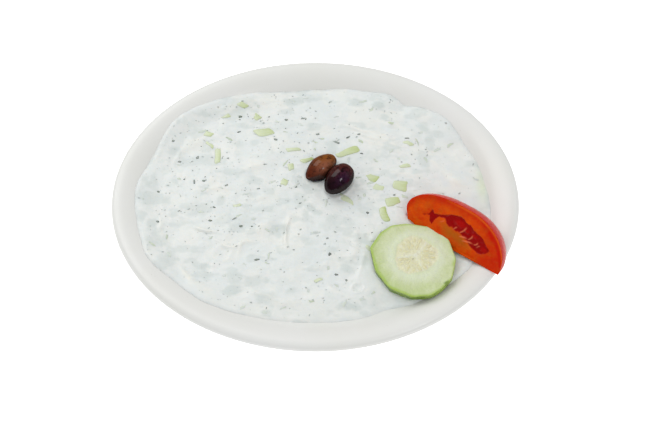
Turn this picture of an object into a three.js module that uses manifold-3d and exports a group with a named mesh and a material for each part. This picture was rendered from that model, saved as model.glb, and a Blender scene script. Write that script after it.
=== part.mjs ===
// Tzatziki in its oval dish: the dip fills the dish nearly to the rim, and a cucumber slice,
// a tomato wedge and two olives lie on it. Millimetres, +Z up, the origin under the middle of
// the foot, +X along the dish's length.

import * as THREE from 'three';
import { mergeVertices } from 'three/addons/utils/BufferGeometryUtils.js';
import Module from 'manifold-3d';

// ---------------------------------------------------------------- driving dimensions

const GAP = 0.3; // clearance between pieces that touch
const AROUND = 64; // facets round the dish and the dip
const MERGE = 2e-3; // corners nearer than this are one

const DISH = {
  length: 240,
  width: 193.2,
  height: 36,
  lip: 3.2, // radius of the rounded lip
  roll: 20, // radius of the rim where it rolls down into the bowl
  slope: THREE.MathUtils.degToRad(45), // steepest slope of the wall
  wall: 5.2,
  floor: 7,
  fillet: 16, // between the wall and the floor
  footInset: 41.6, // from the lip's outer edge to the foot's
  footRound: 2.2,
};

const DIP = {
  level: 30.4,
  mound: 0.5, // how much the middle stands above the level
  rings: 18,
  reach: 0.955, // the surface runs past the wall, which then trims it
};

// Where the dip is smeared up the wall: the height it gains, the bearing and the spread.
const SMEARS = [
  { rise: 2.6, bearing: 128, spread: 26 },
  { rise: 1.6, bearing: 45, spread: 18 },
  { rise: 1.0, bearing: 175, spread: 20 },
];

// Ridges that the spoon left: a stretch of a circle, in degrees, with its crest and width.
const RIDGES = [
  { centre: [-38, -23], radius: 26, from: -32, to: 26, crest: 0.9, width: 4.2 },
  { centre: [8, -18], radius: 70, from: 42, to: 86, crest: 0.8, width: 5.0 },
  { centre: [-62, 8], radius: 30, from: 250, to: 292, crest: 0.8, width: 4.0 },
  { centre: [20, -30], radius: 34, from: 225, to: 300, crest: 0.6, width: 5.0 },
];

const SLICE = {
  thickness: 4.6,
  bevel: 0.5,
  at: [56.5, -41.0],
  underside: 31.55, // of its centre
  // It rises towards +X and -Y, onto the wall of the dish.
  riseRight: THREE.MathUtils.degToRad(3.2),
  riseFront: THREE.MathUtils.degToRad(3.2),
};

// Corners that the peeler left on the slice: bearing in degrees and radius.
const SLICE_CORNERS = [
  [-2, 24.6], [30, 24.3], [62, 23.6], [97, 23.9], [118, 25.7], [135, 25.8], [161, 26.0],
  [197, 22.8], [233, 23.2], [266, 24.6], [291, 25.6], [306, 25.2], [329, 25.4],
];

const TOMATO = {
  stemSide: 37.6, // from the middle of the core to the stem end
  tipSide: 30.8, // and to the blossom end
  radius: 24.9,
  stemBlunt: 2.8, // exponents of the skin's curve at each end, 2 being round
  tipBlunt: 2.07,
  dimple: 6, // depth of the hollow round the stem
  dimpleRadius: 7,
  pastCore: 2.7, // the cuts meet this far beyond the core
  wedge: THREE.MathUtils.degToRad(51),
  at: [78.9, -34.3],
  underside: 33.5, // where the cuts meet, halfway along
  bearing: THREE.MathUtils.degToRad(-35.5), // of the core, stem end to tip
  tilt: THREE.MathUtils.degToRad(7.3), // the tip lies on the dish's rim
};

const OLIVES = [
  {
    name: 'olive_1', half: 11.2, radius: 7.0, taper: -0.16, colour: 0x6b3b20,
    at: [3.3, 20.2, 34.6], bearing: 40, pitch: 4,
  },
  {
    name: 'olive_2', half: 10.8, radius: 7.5, taper: 0.1, colour: 0x24080c,
    at: [13.8, 10.5, 37.5], bearing: 50, pitch: 6,
  },
];

// ---------------------------------------------------------------- from shapes to solids

const wasm = await Module();
wasm.setup();

// The geometry with shared vertices merged and the empty triangles at its poles left out.
function closed(geometry) {
  const bare = geometry.clone();
  bare.deleteAttribute('normal');
  bare.deleteAttribute('uv');
  const merged = mergeVertices(bare, MERGE);
  const index = merged.getIndex().array;
  const kept = [];
  for (let i = 0; i < index.length; i += 3) {
    const [a, b, c] = [index[i], index[i + 1], index[i + 2]];
    if (a !== b && b !== c && c !== a) kept.push(a, b, c);
  }
  merged.setIndex(kept);
  return merged;
}

function solidOf(geometry) {
  const shape = closed(geometry);
  return new wasm.Manifold(new wasm.Mesh({
    numProp: 3,
    vertProperties: Float32Array.from(shape.getAttribute('position').array),
    triVerts: Uint32Array.from(shape.getIndex().array),
  }));
}

function geometryOf(solid) {
  const mesh = solid.getMesh();
  const geometry = new THREE.BufferGeometry();
  geometry.setAttribute('position', new THREE.BufferAttribute(mesh.vertProperties, 3));
  geometry.setIndex(new THREE.BufferAttribute(mesh.triVerts, 1));
  geometry.computeVertexNormals();
  return geometry;
}

function finish(name, geometry, colour, roughness) {
  const material = new THREE.MeshStandardMaterial({ color: colour, roughness, metalness: 0 });
  const mesh = new THREE.Mesh(geometry, material);
  mesh.name = name;
  return mesh;
}

// A lathe shape about +Z from a profile of [radius, height] pairs, bottom to top.
function turned(profile, around) {
  const points = profile.map(([radius, height]) => new THREE.Vector2(radius, height));
  return new THREE.LatheGeometry(points, around).rotateX(Math.PI / 2);
}

// ---------------------------------------------------------------- the oval

const HALF_LENGTH = DISH.length / 2;
const HALF_WIDTH = DISH.width / 2;
const NARROWING = HALF_LENGTH - HALF_WIDTH;
const LIP_RADIUS = HALF_LENGTH - DISH.lip; // of the crest, along the dish
const FLOOR_RADIUS = wallFoot();

// Where the floor meets the fillet: the crest less the roll, the straight wall and the fillet.
function wallFoot() {
  const sin = Math.sin(DISH.slope);
  const cos = Math.cos(DISH.slope);
  const rollDrop = DISH.roll * (1 - cos);
  const filletRise = DISH.fillet * (1 - cos);
  const straight = DISH.height - DISH.floor - rollDrop - filletRise;
  return LIP_RADIUS - DISH.roll * sin - straight / Math.tan(DISH.slope) - DISH.fillet * sin;
}

// The half width of the oval whose half length is given. The rim keeps one width all round,
// so the two differ by a fixed amount, and inside the floor they shrink together.
function acrossFor(along) {
  if (along >= FLOOR_RADIUS) return along - NARROWING;
  return along * (FLOOR_RADIUS - NARROWING) / FLOOR_RADIUS;
}

// The oval that a point lies on, as its half length, found by halving.
function alongAt(x, y) {
  let low = 0;
  let high = HALF_LENGTH * 1.2;
  for (let step = 0; step < 40; step += 1) {
    const middle = (low + high) / 2;
    const across = Math.max(acrossFor(middle), 1e-6);
    if ((x / Math.max(middle, 1e-6)) ** 2 + (y / across) ** 2 > 1) low = middle;
    else high = middle;
  }
  return (low + high) / 2;
}

// A lathe shape pressed into the oval.
function oval(profile, around) {
  const geometry = turned(profile, around);
  const position = geometry.getAttribute('position');
  for (let i = 0; i < position.count; i += 1) {
    const x = position.getX(i);
    const y = position.getY(i);
    const radius = Math.hypot(x, y);
    if (radius > 0) position.setY(i, y * acrossFor(radius) / radius);
  }
  return geometry;
}

// ---------------------------------------------------------------- dish

function arc(centre, radius, from, to, steps) {
  const points = [];
  for (let i = 0; i <= steps; i += 1) {
    const angle = THREE.MathUtils.degToRad(from + (to - from) * i / steps);
    points.push([centre[0] + radius * Math.cos(angle), centre[1] + radius * Math.sin(angle)]);
  }
  return points;
}

// The bowl's inner profile from the crest down to the floor's middle, moved in by an offset.
function innerProfile(offset) {
  const slope = THREE.MathUtils.radToDeg(DISH.slope);
  const rollCentre = [LIP_RADIUS, DISH.height - DISH.roll];
  const filletCentre = [FLOOR_RADIUS, DISH.floor + DISH.fillet];
  return [
    ...arc(rollCentre, DISH.roll + offset, 90, 90 + slope, 5),
    ...arc(filletCentre, DISH.fillet - offset, -90 + slope, -90, 4),
    [FLOOR_RADIUS / 2, DISH.floor + offset],
    [0, DISH.floor + offset],
  ];
}

function makeDish() {
  const slope = THREE.MathUtils.radToDeg(DISH.slope);
  const foot = HALF_LENGTH - DISH.footInset;
  const rollCentre = [LIP_RADIUS, DISH.height - DISH.roll];
  const under = arc(rollCentre, DISH.roll - DISH.wall, 90 + slope, 90, 3);
  const [wallX, wallZ] = under[0];
  const drop = wallZ - DISH.footRound;
  const profile = [
    [0, 0],
    [foot / 2, 0],
    [foot, 0],
    [foot + DISH.footRound * 0.7, DISH.footRound * 0.25],
    [wallX - drop / Math.tan(DISH.slope), DISH.footRound],
    ...under.slice(0, -1),
    ...arc([LIP_RADIUS, DISH.height - DISH.lip], DISH.lip, -90, 60, 6),
    ...innerProfile(0),
  ];
  return finish('dish', closed(oval(profile, AROUND)), 0xe9e9e6, 0.16);
}

// ---------------------------------------------------------------- dip

function bearingGap(a, b) {
  return Math.abs(((a - b) % 360 + 540) % 360 - 180);
}

function ridgeHeight(ridge, x, y) {
  const dx = x - ridge.centre[0];
  const dy = y - ridge.centre[1];
  const off = Math.hypot(dx, dy) - ridge.radius;
  const middle = (ridge.from + ridge.to) / 2;
  const span = (ridge.to - ridge.from) / 2;
  const along = bearingGap(THREE.MathUtils.radToDeg(Math.atan2(dy, dx)), middle) / span;
  if (along >= 1) return 0;
  return ridge.crest * Math.exp(-((off / ridge.width) ** 2)) * Math.cos(along * Math.PI / 2) ** 2;
}

// The height of the dip's surface: its level, a low mound, slow waves, the spoon's ridges and
// the smears up the wall.
function surfaceHeight(x, y) {
  const out = alongAt(x, y) / HALF_LENGTH;
  const bearing = THREE.MathUtils.radToDeg(Math.atan2(y, x));
  let height = DIP.level + DIP.mound * (1 - out * out);
  height += 0.3 * Math.sin(x / 12 + 1.3 * Math.sin(y / 19)) * Math.cos(y / 11);
  for (const ridge of RIDGES) height += ridgeHeight(ridge, x, y);
  for (const smear of SMEARS) {
    const near = Math.exp(-((bearingGap(bearing, smear.bearing) / smear.spread) ** 2));
    height += smear.rise * near * Math.max(0, out - 0.6) / 0.3;
  }
  return height;
}

// The dip is what the bowl holds under the dip's surface, clear of the pieces lying in it.
function makeDip(garnish) {
  const profile = [[0, 0], [HALF_LENGTH * DIP.reach, 0]];
  for (let ring = DIP.rings; ring >= 0; ring -= 1) {
    profile.push([HALF_LENGTH * DIP.reach * ring / DIP.rings, DIP.level]);
  }
  const heap = oval(profile, AROUND);
  const position = heap.getAttribute('position');
  for (let i = 0; i < position.count; i += 1) {
    if (position.getZ(i) > 0) {
      position.setZ(i, surfaceHeight(position.getX(i), position.getY(i)));
    }
  }
  const hollow = innerProfile(GAP).reverse();
  const top = [LIP_RADIUS, DISH.height + DISH.lip];
  const cavity = oval([...hollow, top, [0, top[1]]], AROUND);
  let dip = solidOf(heap).intersect(solidOf(cavity));
  for (const piece of garnish) dip = dip.subtract(solidOf(piece));
  return finish('dip', closed(geometryOf(dip)), 0xe2e6e3, 0.4);
}

// ---------------------------------------------------------------- cucumber slice

// The slice lies from z = 0 up, and grow makes it larger on every side.
function sliceGeometry(grow) {
  const shape = new THREE.Shape();
  const corners = SLICE_CORNERS.map(([bearing, radius]) => {
    const angle = THREE.MathUtils.degToRad(bearing);
    const reach = radius + grow;
    return new THREE.Vector2(reach * Math.cos(angle), reach * Math.sin(angle));
  });
  const rounding = 0.3; // share of each side that a corner's curve takes
  corners.forEach((corner, i) => {
    const before = corners[(i + corners.length - 1) % corners.length];
    const after = corners[(i + 1) % corners.length];
    const start = corner.clone().lerp(before, rounding);
    const end = corner.clone().lerp(after, rounding);
    if (i === 0) shape.moveTo(start.x, start.y);
    else shape.lineTo(start.x, start.y);
    shape.quadraticCurveTo(corner.x, corner.y, end.x, end.y);
  });
  shape.closePath();
  const geometry = new THREE.ExtrudeGeometry(shape, {
    depth: SLICE.thickness + 2 * grow - 2 * SLICE.bevel,
    bevelThickness: SLICE.bevel,
    bevelSize: SLICE.bevel,
    bevelOffset: -SLICE.bevel,
    bevelSegments: 1,
    curveSegments: 2,
  });
  return geometry.translate(0, 0, SLICE.bevel - grow);
}

function placeSlice(object) {
  object.position.set(SLICE.at[0], SLICE.at[1], SLICE.underside);
  object.rotation.set(-SLICE.riseFront, -SLICE.riseRight, 0);
  object.updateMatrix();
  return object;
}

function makeSlice() {
  const mesh = finish('cucumber_slice', closed(sliceGeometry(0)), 0xd3ddb8, 0.35);
  return placeSlice(mesh);
}

// ---------------------------------------------------------------- tomato wedge

// The whole fruit is turned about its core, which lies along X, and a prism from beyond the
// core out keeps one wedge of it. The lower cut face is z = 0, and the cuts meet along X.
function wedgeGeometry(grow) {
  const steps = 20;
  const profile = [];
  for (let i = 0; i <= steps; i += 1) {
    const along = -Math.cos(Math.PI * i / steps);
    const reach = along < 0 ? TOMATO.stemSide : TOMATO.tipSide;
    const blunt = along < 0 ? TOMATO.stemBlunt : TOMATO.tipBlunt;
    const share = Math.max(1 - Math.abs(along) ** blunt, 0) ** (1 / blunt);
    const radius = share * (TOMATO.radius + grow);
    const hollow = along < 0 ? TOMATO.dimple * Math.exp(-((radius / TOMATO.dimpleRadius) ** 2)) : 0;
    profile.push([radius, along * (reach + grow) + hollow]);
  }
  const opening = TOMATO.wedge;
  const fruit = turned(profile, 40).rotateY(Math.PI / 2).translate(
    0,
    TOMATO.pastCore * Math.cos(opening / 2),
    TOMATO.pastCore * Math.sin(opening / 2),
  );
  const far = TOMATO.radius * 3;
  const back = -grow / Math.tan(opening / 2);
  const section = new THREE.Shape();
  section.moveTo(back, -grow);
  section.lineTo(far, -grow);
  section.lineTo(back + far * Math.cos(opening), -grow + far * Math.sin(opening));
  section.closePath();
  const prism = new THREE.ExtrudeGeometry(section, { depth: 4 * far, bevelEnabled: false });
  prism.translate(0, 0, -2 * far);
  // Local X of the section is the wedge's Y, and its Y the wedge's Z.
  prism.applyMatrix4(new THREE.Matrix4().makeBasis(
    new THREE.Vector3(0, 1, 0),
    new THREE.Vector3(0, 0, 1),
    new THREE.Vector3(1, 0, 0),
  ));
  return geometryOf(solidOf(fruit).intersect(solidOf(prism)));
}

function placeWedge(object) {
  object.position.set(TOMATO.at[0], TOMATO.at[1], TOMATO.underside);
  object.rotation.set(0, -TOMATO.tilt, TOMATO.bearing, 'ZYX');
  object.updateMatrix();
  return object;
}

// The slice leans on the wedge's core edge, which gives way to it.
function makeWedge() {
  const mesh = placeWedge(finish('tomato_wedge', new THREE.BufferGeometry(), 0xc23a12, 0.25));
  const slice = sliceGeometry(GAP).applyMatrix4(placeSlice(new THREE.Object3D()).matrix);
  slice.applyMatrix4(mesh.matrix.clone().invert());
  mesh.geometry = closed(geometryOf(solidOf(wedgeGeometry(0)).subtract(solidOf(slice))));
  return mesh;
}

// ---------------------------------------------------------------- olives

// An olive along X: a ball stretched to its length, fuller towards one end.
function oliveGeometry(olive, grow) {
  const geometry = new THREE.SphereGeometry(1, 20, 12).rotateZ(-Math.PI / 2);
  const position = geometry.getAttribute('position');
  for (let i = 0; i < position.count; i += 1) {
    const along = position.getX(i);
    const fullness = (olive.radius + grow) * (1 + olive.taper * along);
    position.setXYZ(
      i,
      along * (olive.half + grow),
      position.getY(i) * fullness,
      position.getZ(i) * fullness,
    );
  }
  return geometry;
}

function placeOlive(object, olive) {
  object.position.set(...olive.at);
  const pitch = -THREE.MathUtils.degToRad(olive.pitch);
  object.rotation.set(0, pitch, THREE.MathUtils.degToRad(olive.bearing), 'ZYX');
  object.updateMatrix();
  return object;
}

function makeOlive(olive) {
  const mesh = finish(olive.name, closed(oliveGeometry(olive, 0)), olive.colour, 0.25);
  return placeOlive(mesh, olive);
}

// ---------------------------------------------------------------- assembly

const pockets = [
  sliceGeometry(GAP).applyMatrix4(placeSlice(new THREE.Object3D()).matrix),
  wedgeGeometry(GAP).applyMatrix4(placeWedge(new THREE.Object3D()).matrix),
  ...OLIVES.map((olive) => {
    const pose = placeOlive(new THREE.Object3D(), olive);
    return oliveGeometry(olive, GAP).applyMatrix4(pose.matrix);
  }),
];

const group = new THREE.Group();
group.add(makeDish(), makeDip(pockets), makeSlice(), makeWedge());
for (const olive of OLIVES) group.add(makeOlive(olive));

export default group;
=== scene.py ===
"""An oval white dish of tzatziki with a cucumber slice, a tomato wedge and two olives on it.

Each piece is a surface worked out with numpy in millimetres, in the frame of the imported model,
and put into its mesh in metres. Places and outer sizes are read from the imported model's nodes.
"""

import math

import bpy
import numpy as np
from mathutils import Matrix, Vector


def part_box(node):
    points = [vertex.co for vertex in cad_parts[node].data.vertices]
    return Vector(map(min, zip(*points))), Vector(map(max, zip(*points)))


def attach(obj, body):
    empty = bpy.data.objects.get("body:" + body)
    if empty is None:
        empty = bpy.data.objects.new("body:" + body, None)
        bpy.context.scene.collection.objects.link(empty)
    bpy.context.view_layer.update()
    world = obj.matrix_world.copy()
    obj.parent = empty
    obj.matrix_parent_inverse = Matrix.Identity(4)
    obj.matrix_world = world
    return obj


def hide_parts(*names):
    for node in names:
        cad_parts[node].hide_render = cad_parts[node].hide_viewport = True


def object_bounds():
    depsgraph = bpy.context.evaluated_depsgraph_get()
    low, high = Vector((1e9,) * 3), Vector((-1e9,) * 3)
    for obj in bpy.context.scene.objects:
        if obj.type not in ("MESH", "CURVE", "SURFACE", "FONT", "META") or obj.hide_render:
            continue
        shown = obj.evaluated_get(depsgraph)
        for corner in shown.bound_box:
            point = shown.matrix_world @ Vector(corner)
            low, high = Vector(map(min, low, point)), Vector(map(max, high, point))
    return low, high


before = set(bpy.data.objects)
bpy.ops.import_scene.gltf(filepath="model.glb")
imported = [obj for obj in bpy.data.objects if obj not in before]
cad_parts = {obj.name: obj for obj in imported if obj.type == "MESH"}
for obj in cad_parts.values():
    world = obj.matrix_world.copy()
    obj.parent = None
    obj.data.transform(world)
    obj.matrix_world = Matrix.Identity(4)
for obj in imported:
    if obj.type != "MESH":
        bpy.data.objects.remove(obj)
CAD_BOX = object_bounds()

bl_info = {
    "name": "Oval Dish of Tzatziki",
    "version": (1, 0, 0),
    "blender": (4, 5, 0),
    "location": "3D View > Sidebar > Tzatziki",
    "description": "Builds a filled oval dish with its garnish around the packed model",
    "category": "Add Mesh",
}

MM = 0.001


def node_box(node):
    """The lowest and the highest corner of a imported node, in millimetres."""
    low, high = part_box(node)
    return np.array(low) / MM, np.array(high) / MM


DISH_LOW, DISH_HIGH = node_box("dish")
HALF_LENGTH = (DISH_HIGH[0] - DISH_LOW[0]) / 2
HALF_WIDTH = (DISH_HIGH[1] - DISH_LOW[1]) / 2
RIM_HEIGHT = DISH_HIGH[2]
NARROWING = HALF_LENGTH - HALF_WIDTH


# ------------------------------------------------------------------ numbers and curves


def smooth(low, high, value):
    """0 below low, 1 above high, and an S-shaped step between them."""
    share = np.clip((value - low) / (high - low), 0.0, 1.0)
    return share * share * (3.0 - 2.0 * share)


def hump(value, width):
    """1 at zero, falling to nothing over about twice the width on either side."""
    return np.exp(-((value / width) ** 2))


def bearing_gap(a, b):
    """The angle between two bearings, in degrees, from -180 to 180."""
    return (a - b + 180.0) % 360.0 - 180.0


def through(x, knots):
    """A soft curve through a few (x, y) knots: straight stretches eased by an S-shaped step."""
    place, height = np.array(knots, float).T
    stretch = np.clip(np.searchsorted(place, x) - 1, 0, len(place) - 2)
    share = smooth(place[stretch], place[stretch + 1], x)
    eased = height[stretch] + (height[stretch + 1] - height[stretch]) * share
    return 0.5 * eased + 0.5 * np.interp(x, place, height)


def noise(points, size, seed):
    """Smooth noise from -1 to 1: random values on a lattice of that size, blended between."""
    cells = 24
    lattice = np.random.default_rng(seed).uniform(-1.0, 1.0, (cells, cells, cells))
    place = points / size
    corner = np.floor(place).astype(int)
    share = place - corner
    share = share * share * share * (share * (share * 6.0 - 15.0) + 10.0)
    total = np.zeros(points.shape[:-1])
    for step in np.ndindex(2, 2, 2):
        weight = np.prod(np.where(np.array(step) == 1, share, 1.0 - share), axis=-1)
        index = (corner + step) % cells
        total += weight * lattice[index[..., 0], index[..., 1], index[..., 2]]
    return total


def rough(points, size, octaves, seed):
    """Noise in octaves, each half the size and half the height of the one before."""
    return sum(noise(points, size / 2**k, seed + k) / 2**k for k in range(octaves))


def plan(x, y):
    """Points of the plan as noise takes them, at height zero."""
    return np.stack(np.broadcast_arrays(x, y, 0.0), axis=-1)


def arc(centre, radius, start, end, steps):
    """Points on a circle, from one angle in degrees to another."""
    angle = np.radians(np.linspace(start, end, steps))
    return np.stack([centre[0] + radius * np.cos(angle), centre[1] + radius * np.sin(angle)], -1)


def evenly(points, spacing):
    """Points along a line of points, as far apart as spacing(line) says for each place on it."""
    length = np.concatenate([[0.0], np.cumsum(np.linalg.norm(np.diff(points, axis=0), axis=1))])
    fine = np.linspace(0.0, length[-1], 4000)
    line = np.stack([np.interp(fine, length, points[:, k]) for k in range(points.shape[1])], -1)
    density = 1.0 / spacing(line)
    count = np.concatenate([[0.0], np.cumsum((density[1:] + density[:-1]) / 2 * np.diff(fine))])
    where = np.interp(np.linspace(0.0, count[-1], int(count[-1]) + 2), count, fine)
    return np.stack([np.interp(where, fine, line[:, k]) for k in range(points.shape[1])], -1)


def softened(line, passes):
    """A line whose inner points are averaged with their neighbours, which rounds its corners."""
    for _ in range(passes):
        line = line.copy()
        line[1:-1] = (line[:-2] + 2.0 * line[1:-1] + line[2:]) / 4.0
    return line


def circle(steps):
    """Angles in radians, evenly round a whole turn, without the last one."""
    return np.linspace(0.0, 2.0 * math.pi, steps, endpoint=False)


def swung(x, y, angle):
    """x and y turned by an angle in radians."""
    return x * np.cos(angle) - y * np.sin(angle), x * np.sin(angle) + y * np.cos(angle)


def turn(about_x, about_y, about_z):
    """The matrix that turns about X, then Y, then Z, in degrees."""
    cx, cy, cz = np.cos(np.radians([about_x, about_y, about_z]))
    sx, sy, sz = np.sin(np.radians([about_x, about_y, about_z]))
    first = np.array([[1, 0, 0], [0, cx, -sx], [0, sx, cx]])
    second = np.array([[cy, 0, sy], [0, 1, 0], [-sy, 0, cy]])
    third = np.array([[cz, -sz, 0], [sz, cz, 0], [0, 0, 1]])
    return third @ second @ first


# ------------------------------------------------------------------ meshes


def rings(grid):
    """Points and faces of a grid whose rings close on themselves, with a fan at each end."""
    count, around = grid.shape[:2]
    index = np.arange(count * around).reshape(count, around)
    after = np.roll(index, -1, axis=1)
    quads = np.stack([index[:-1], after[:-1], after[1:], index[1:]], axis=-1).reshape(-1, 4)
    first, last = count * around, count * around + 1
    fans = np.concatenate([
        np.stack([after[0], index[0], np.full(around, first)], axis=-1),
        np.stack([index[-1], after[-1], np.full(around, last)], axis=-1),
    ])
    return with_ends(grid), quads, fans


def with_ends(grid):
    """The grid's values in one list, then the mean of its first ring and of its last."""
    flat = grid.reshape((-1,) + grid.shape[2:])
    return np.concatenate([flat, [grid[0].mean(axis=0)], [grid[-1].mean(axis=0)]])


def shares(grids):
    """Named grids of values as the lists that a mesh takes, held between 0 and 1."""
    return {label: np.clip(with_ends(grid), 0.0, 1.0) for label, grid in grids.items()}


def outwards(points, quads, fans):
    """The same faces, turned round if the volume that they enclose comes out below zero."""
    halves = np.concatenate([quads[:, [0, 1, 2]], quads[:, [0, 2, 3]], fans])
    a, b, c = (points[halves[:, k]] for k in range(3))
    if np.einsum("ij,ij->", a, np.cross(b, c)) < 0.0:
        return quads[:, ::-1], fans[:, ::-1]
    return quads, fans


def piece(name, shape, material, stands_for=(), values=None, colours=None):
    """Puts a closed surface in millimetres into a new object that rides on the dish's body."""
    points, quads, fans = shape
    quads, fans = outwards(points, quads, fans)
    corners = np.concatenate([quads.ravel(), fans.ravel()])
    sides = np.concatenate([np.full(len(quads), 4), np.full(len(fans), 3)])
    mesh = bpy.data.meshes.new(name)
    mesh.vertices.add(len(points))
    mesh.vertices.foreach_set("co", (points * MM).astype(np.float32).ravel())
    mesh.loops.add(len(corners))
    mesh.loops.foreach_set("vertex_index", corners.astype(np.int32))
    mesh.polygons.add(len(sides))
    starts = np.concatenate([[0], np.cumsum(sides)[:-1]])
    mesh.polygons.foreach_set("loop_start", starts.astype(np.int32))
    mesh.polygons.foreach_set("use_smooth", np.ones(len(sides), bool))
    mesh.update(calc_edges=True)
    for label, value in (values or {}).items():
        layer = mesh.attributes.new(label, "FLOAT", "POINT")
        layer.data.foreach_set("value", np.asarray(value, np.float32).ravel())
    for label, colour in (colours or {}).items():
        layer = mesh.attributes.new(label, "FLOAT_COLOR", "POINT")
        opaque = np.concatenate([colour, np.ones((len(colour), 1))], axis=1)
        layer.data.foreach_set("color", opaque.astype(np.float32).ravel())
    mesh.materials.append(material)
    made = bpy.data.objects.new(name, mesh)
    bpy.context.scene.collection.objects.link(made)
    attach(made, "root")
    if stands_for:
        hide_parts(*stands_for)


def many(grids, ends):
    """Joins a stack of small ring grids, one for each item, into one set of points and faces."""
    items, count, around = grids.shape[:3]
    points, quads, fans = rings(grids[0])
    each = len(points)
    stacked = np.concatenate([grids.reshape(items, -1, 3), ends], axis=1).reshape(-1, 3)
    shift = (np.arange(items) * each)[:, None, None]
    return stacked, (quads[None] + shift).reshape(-1, 4), (fans[None] + shift).reshape(-1, 3)


def spread(values, each):
    """One value or colour for each item, repeated for each of its points."""
    return np.repeat(np.asarray(values), each, axis=0)


# ------------------------------------------------------------------ shader nodes


class Shading:
    """Short calls that add nodes to a tree and feed their sockets with values or links."""

    def __init__(self, tree):
        self.tree = tree

    def add(self, kind, feeds=None, **settings):
        node = self.tree.nodes.new(kind)
        for key, value in settings.items():
            setattr(node, key, value)
        for socket, value in (feeds or {}).items():
            if isinstance(value, bpy.types.NodeSocket):
                self.tree.links.new(value, node.inputs[socket])
            else:
                node.inputs[socket].default_value = value
        return node

    def math(self, operation, a, b=0.0):
        node = self.add("ShaderNodeMath", {0: a, 1: b}, operation=operation)
        return node.outputs[0]

    def mix(self, share, a, b):
        return self.add("ShaderNodeMix", {0: share, 6: a, 7: b}, data_type="RGBA").outputs[2]

    def span(self, value, low, high, start=0.0, end=1.0):
        feeds = {0: value, 1: low, 2: high, 3: start, 4: end}
        return self.add("ShaderNodeMapRange", feeds).outputs[0]

    def noise(self, place, scale, detail=3.0, roughness=0.55, distortion=0.0):
        feeds = {
            "Vector": place, "Scale": scale, "Detail": detail,
            "Roughness": roughness, "Distortion": distortion,
        }
        return self.add("ShaderNodeTexNoise", feeds).outputs[0]

    def layer(self, name):
        return self.add("ShaderNodeAttribute", attribute_name=name).outputs["Fac"]

    def layer_colour(self, name):
        return self.add("ShaderNodeAttribute", attribute_name=name).outputs["Color"]

    def group(self, tree, **feeds):
        node = self.tree.nodes.new("ShaderNodeGroup")
        node.node_tree = tree
        for name, value in feeds.items():
            socket = node.inputs[name.replace("_", " ")]
            if isinstance(value, bpy.types.NodeSocket):
                self.tree.links.new(value, socket)
            else:
                socket.default_value = value
        return node.outputs

    def grain(self, place, scales, fine_share, gloss):
        """Height and roughness of fine unevenness: coarse and fine scale, least and most rough."""
        return self.group(
            shared("grain"), Position=place, Coarse=scales[0], Fine=scales[1],
            Fine_Share=fine_share, Roughness_Low=gloss[0], Roughness_High=gloss[1],
        )

    def patches(self, place, size, cover, edge, under, over):
        """One colour with soft patches of another over it."""
        return self.group(
            shared("blotches"), Position=place, Size=size, Cover=cover, Edge=edge,
            Under=under, Over=over,
        )["Colour"]

    def fibres(self, place, fineness):
        """Streaks along X."""
        return self.group(shared("fibres"), Position=place, Fineness=fineness)["Streaks"]


def colour(red, green, blue):
    """A display colour, 0 to 255 in each channel, as the linear one that shaders take."""
    share = np.array([red, green, blue]) / 255.0
    linear = np.where(share <= 0.04045, share / 12.92, ((share + 0.055) / 1.055) ** 2.4)
    return (*(float(x) for x in linear), 1.0)


def linear(red, green, blue):
    """The same linear colour as an array of three, for colours kept on a mesh."""
    return np.array(colour(red, green, blue)[:3])


def new_group(name, inputs, outputs):
    """An empty node group with its sockets, and what is needed to fill it."""
    tree = bpy.data.node_groups.new(name, "ShaderNodeTree")
    for label, kind, value in inputs:
        socket = tree.interface.new_socket(label, in_out="INPUT", socket_type=kind)
        if value is not None:
            socket.default_value = value
    for label, kind in outputs:
        tree.interface.new_socket(label, in_out="OUTPUT", socket_type=kind)
    shading = Shading(tree)
    start = tree.nodes.new("NodeGroupInput").outputs
    end = tree.nodes.new("NodeGroupOutput").inputs
    return tree, shading, start, end


def grain_group():
    """Fine unevenness: a height from two sizes of noise, and a gloss that varies with it."""
    tree, shading, start, end = new_group(
        "surface_grain",
        [
            ("Position", "NodeSocketVector", None),
            ("Coarse", "NodeSocketFloat", 0.3),
            ("Fine", "NodeSocketFloat", 2.0),
            ("Fine Share", "NodeSocketFloat", 0.3),
            ("Roughness Low", "NodeSocketFloat", 0.2),
            ("Roughness High", "NodeSocketFloat", 0.4),
        ],
        [("Height", "NodeSocketFloat"), ("Roughness", "NodeSocketFloat")],
    )
    coarse = shading.noise(start["Position"], start["Coarse"], 4.0)
    fine = shading.noise(start["Position"], start["Fine"], 3.0, 0.6)
    share = shading.math("MULTIPLY", fine, start["Fine Share"])
    shading.tree.links.new(shading.math("ADD", coarse, share), end["Height"])
    gloss = shading.span(coarse, 0.35, 0.65, start["Roughness Low"], start["Roughness High"])
    shading.tree.links.new(gloss, end["Roughness"])
    return tree


def blotch_group():
    """Soft patches of a second colour over a first."""
    tree, shading, start, end = new_group(
        "blotches",
        [
            ("Position", "NodeSocketVector", None),
            ("Size", "NodeSocketFloat", 0.1),
            ("Cover", "NodeSocketFloat", 0.5),
            ("Edge", "NodeSocketFloat", 0.1),
            ("Under", "NodeSocketColor", None),
            ("Over", "NodeSocketColor", None),
        ],
        [("Colour", "NodeSocketColor")],
    )
    patches = shading.noise(start["Position"], start["Size"], 4.0, 0.55, 0.6)
    low = shading.math("SUBTRACT", start["Cover"], start["Edge"])
    high = shading.math("ADD", start["Cover"], start["Edge"])
    mask = shading.span(patches, low, high)
    shading.tree.links.new(shading.mix(mask, start["Under"], start["Over"]), end["Colour"])
    return tree


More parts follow.
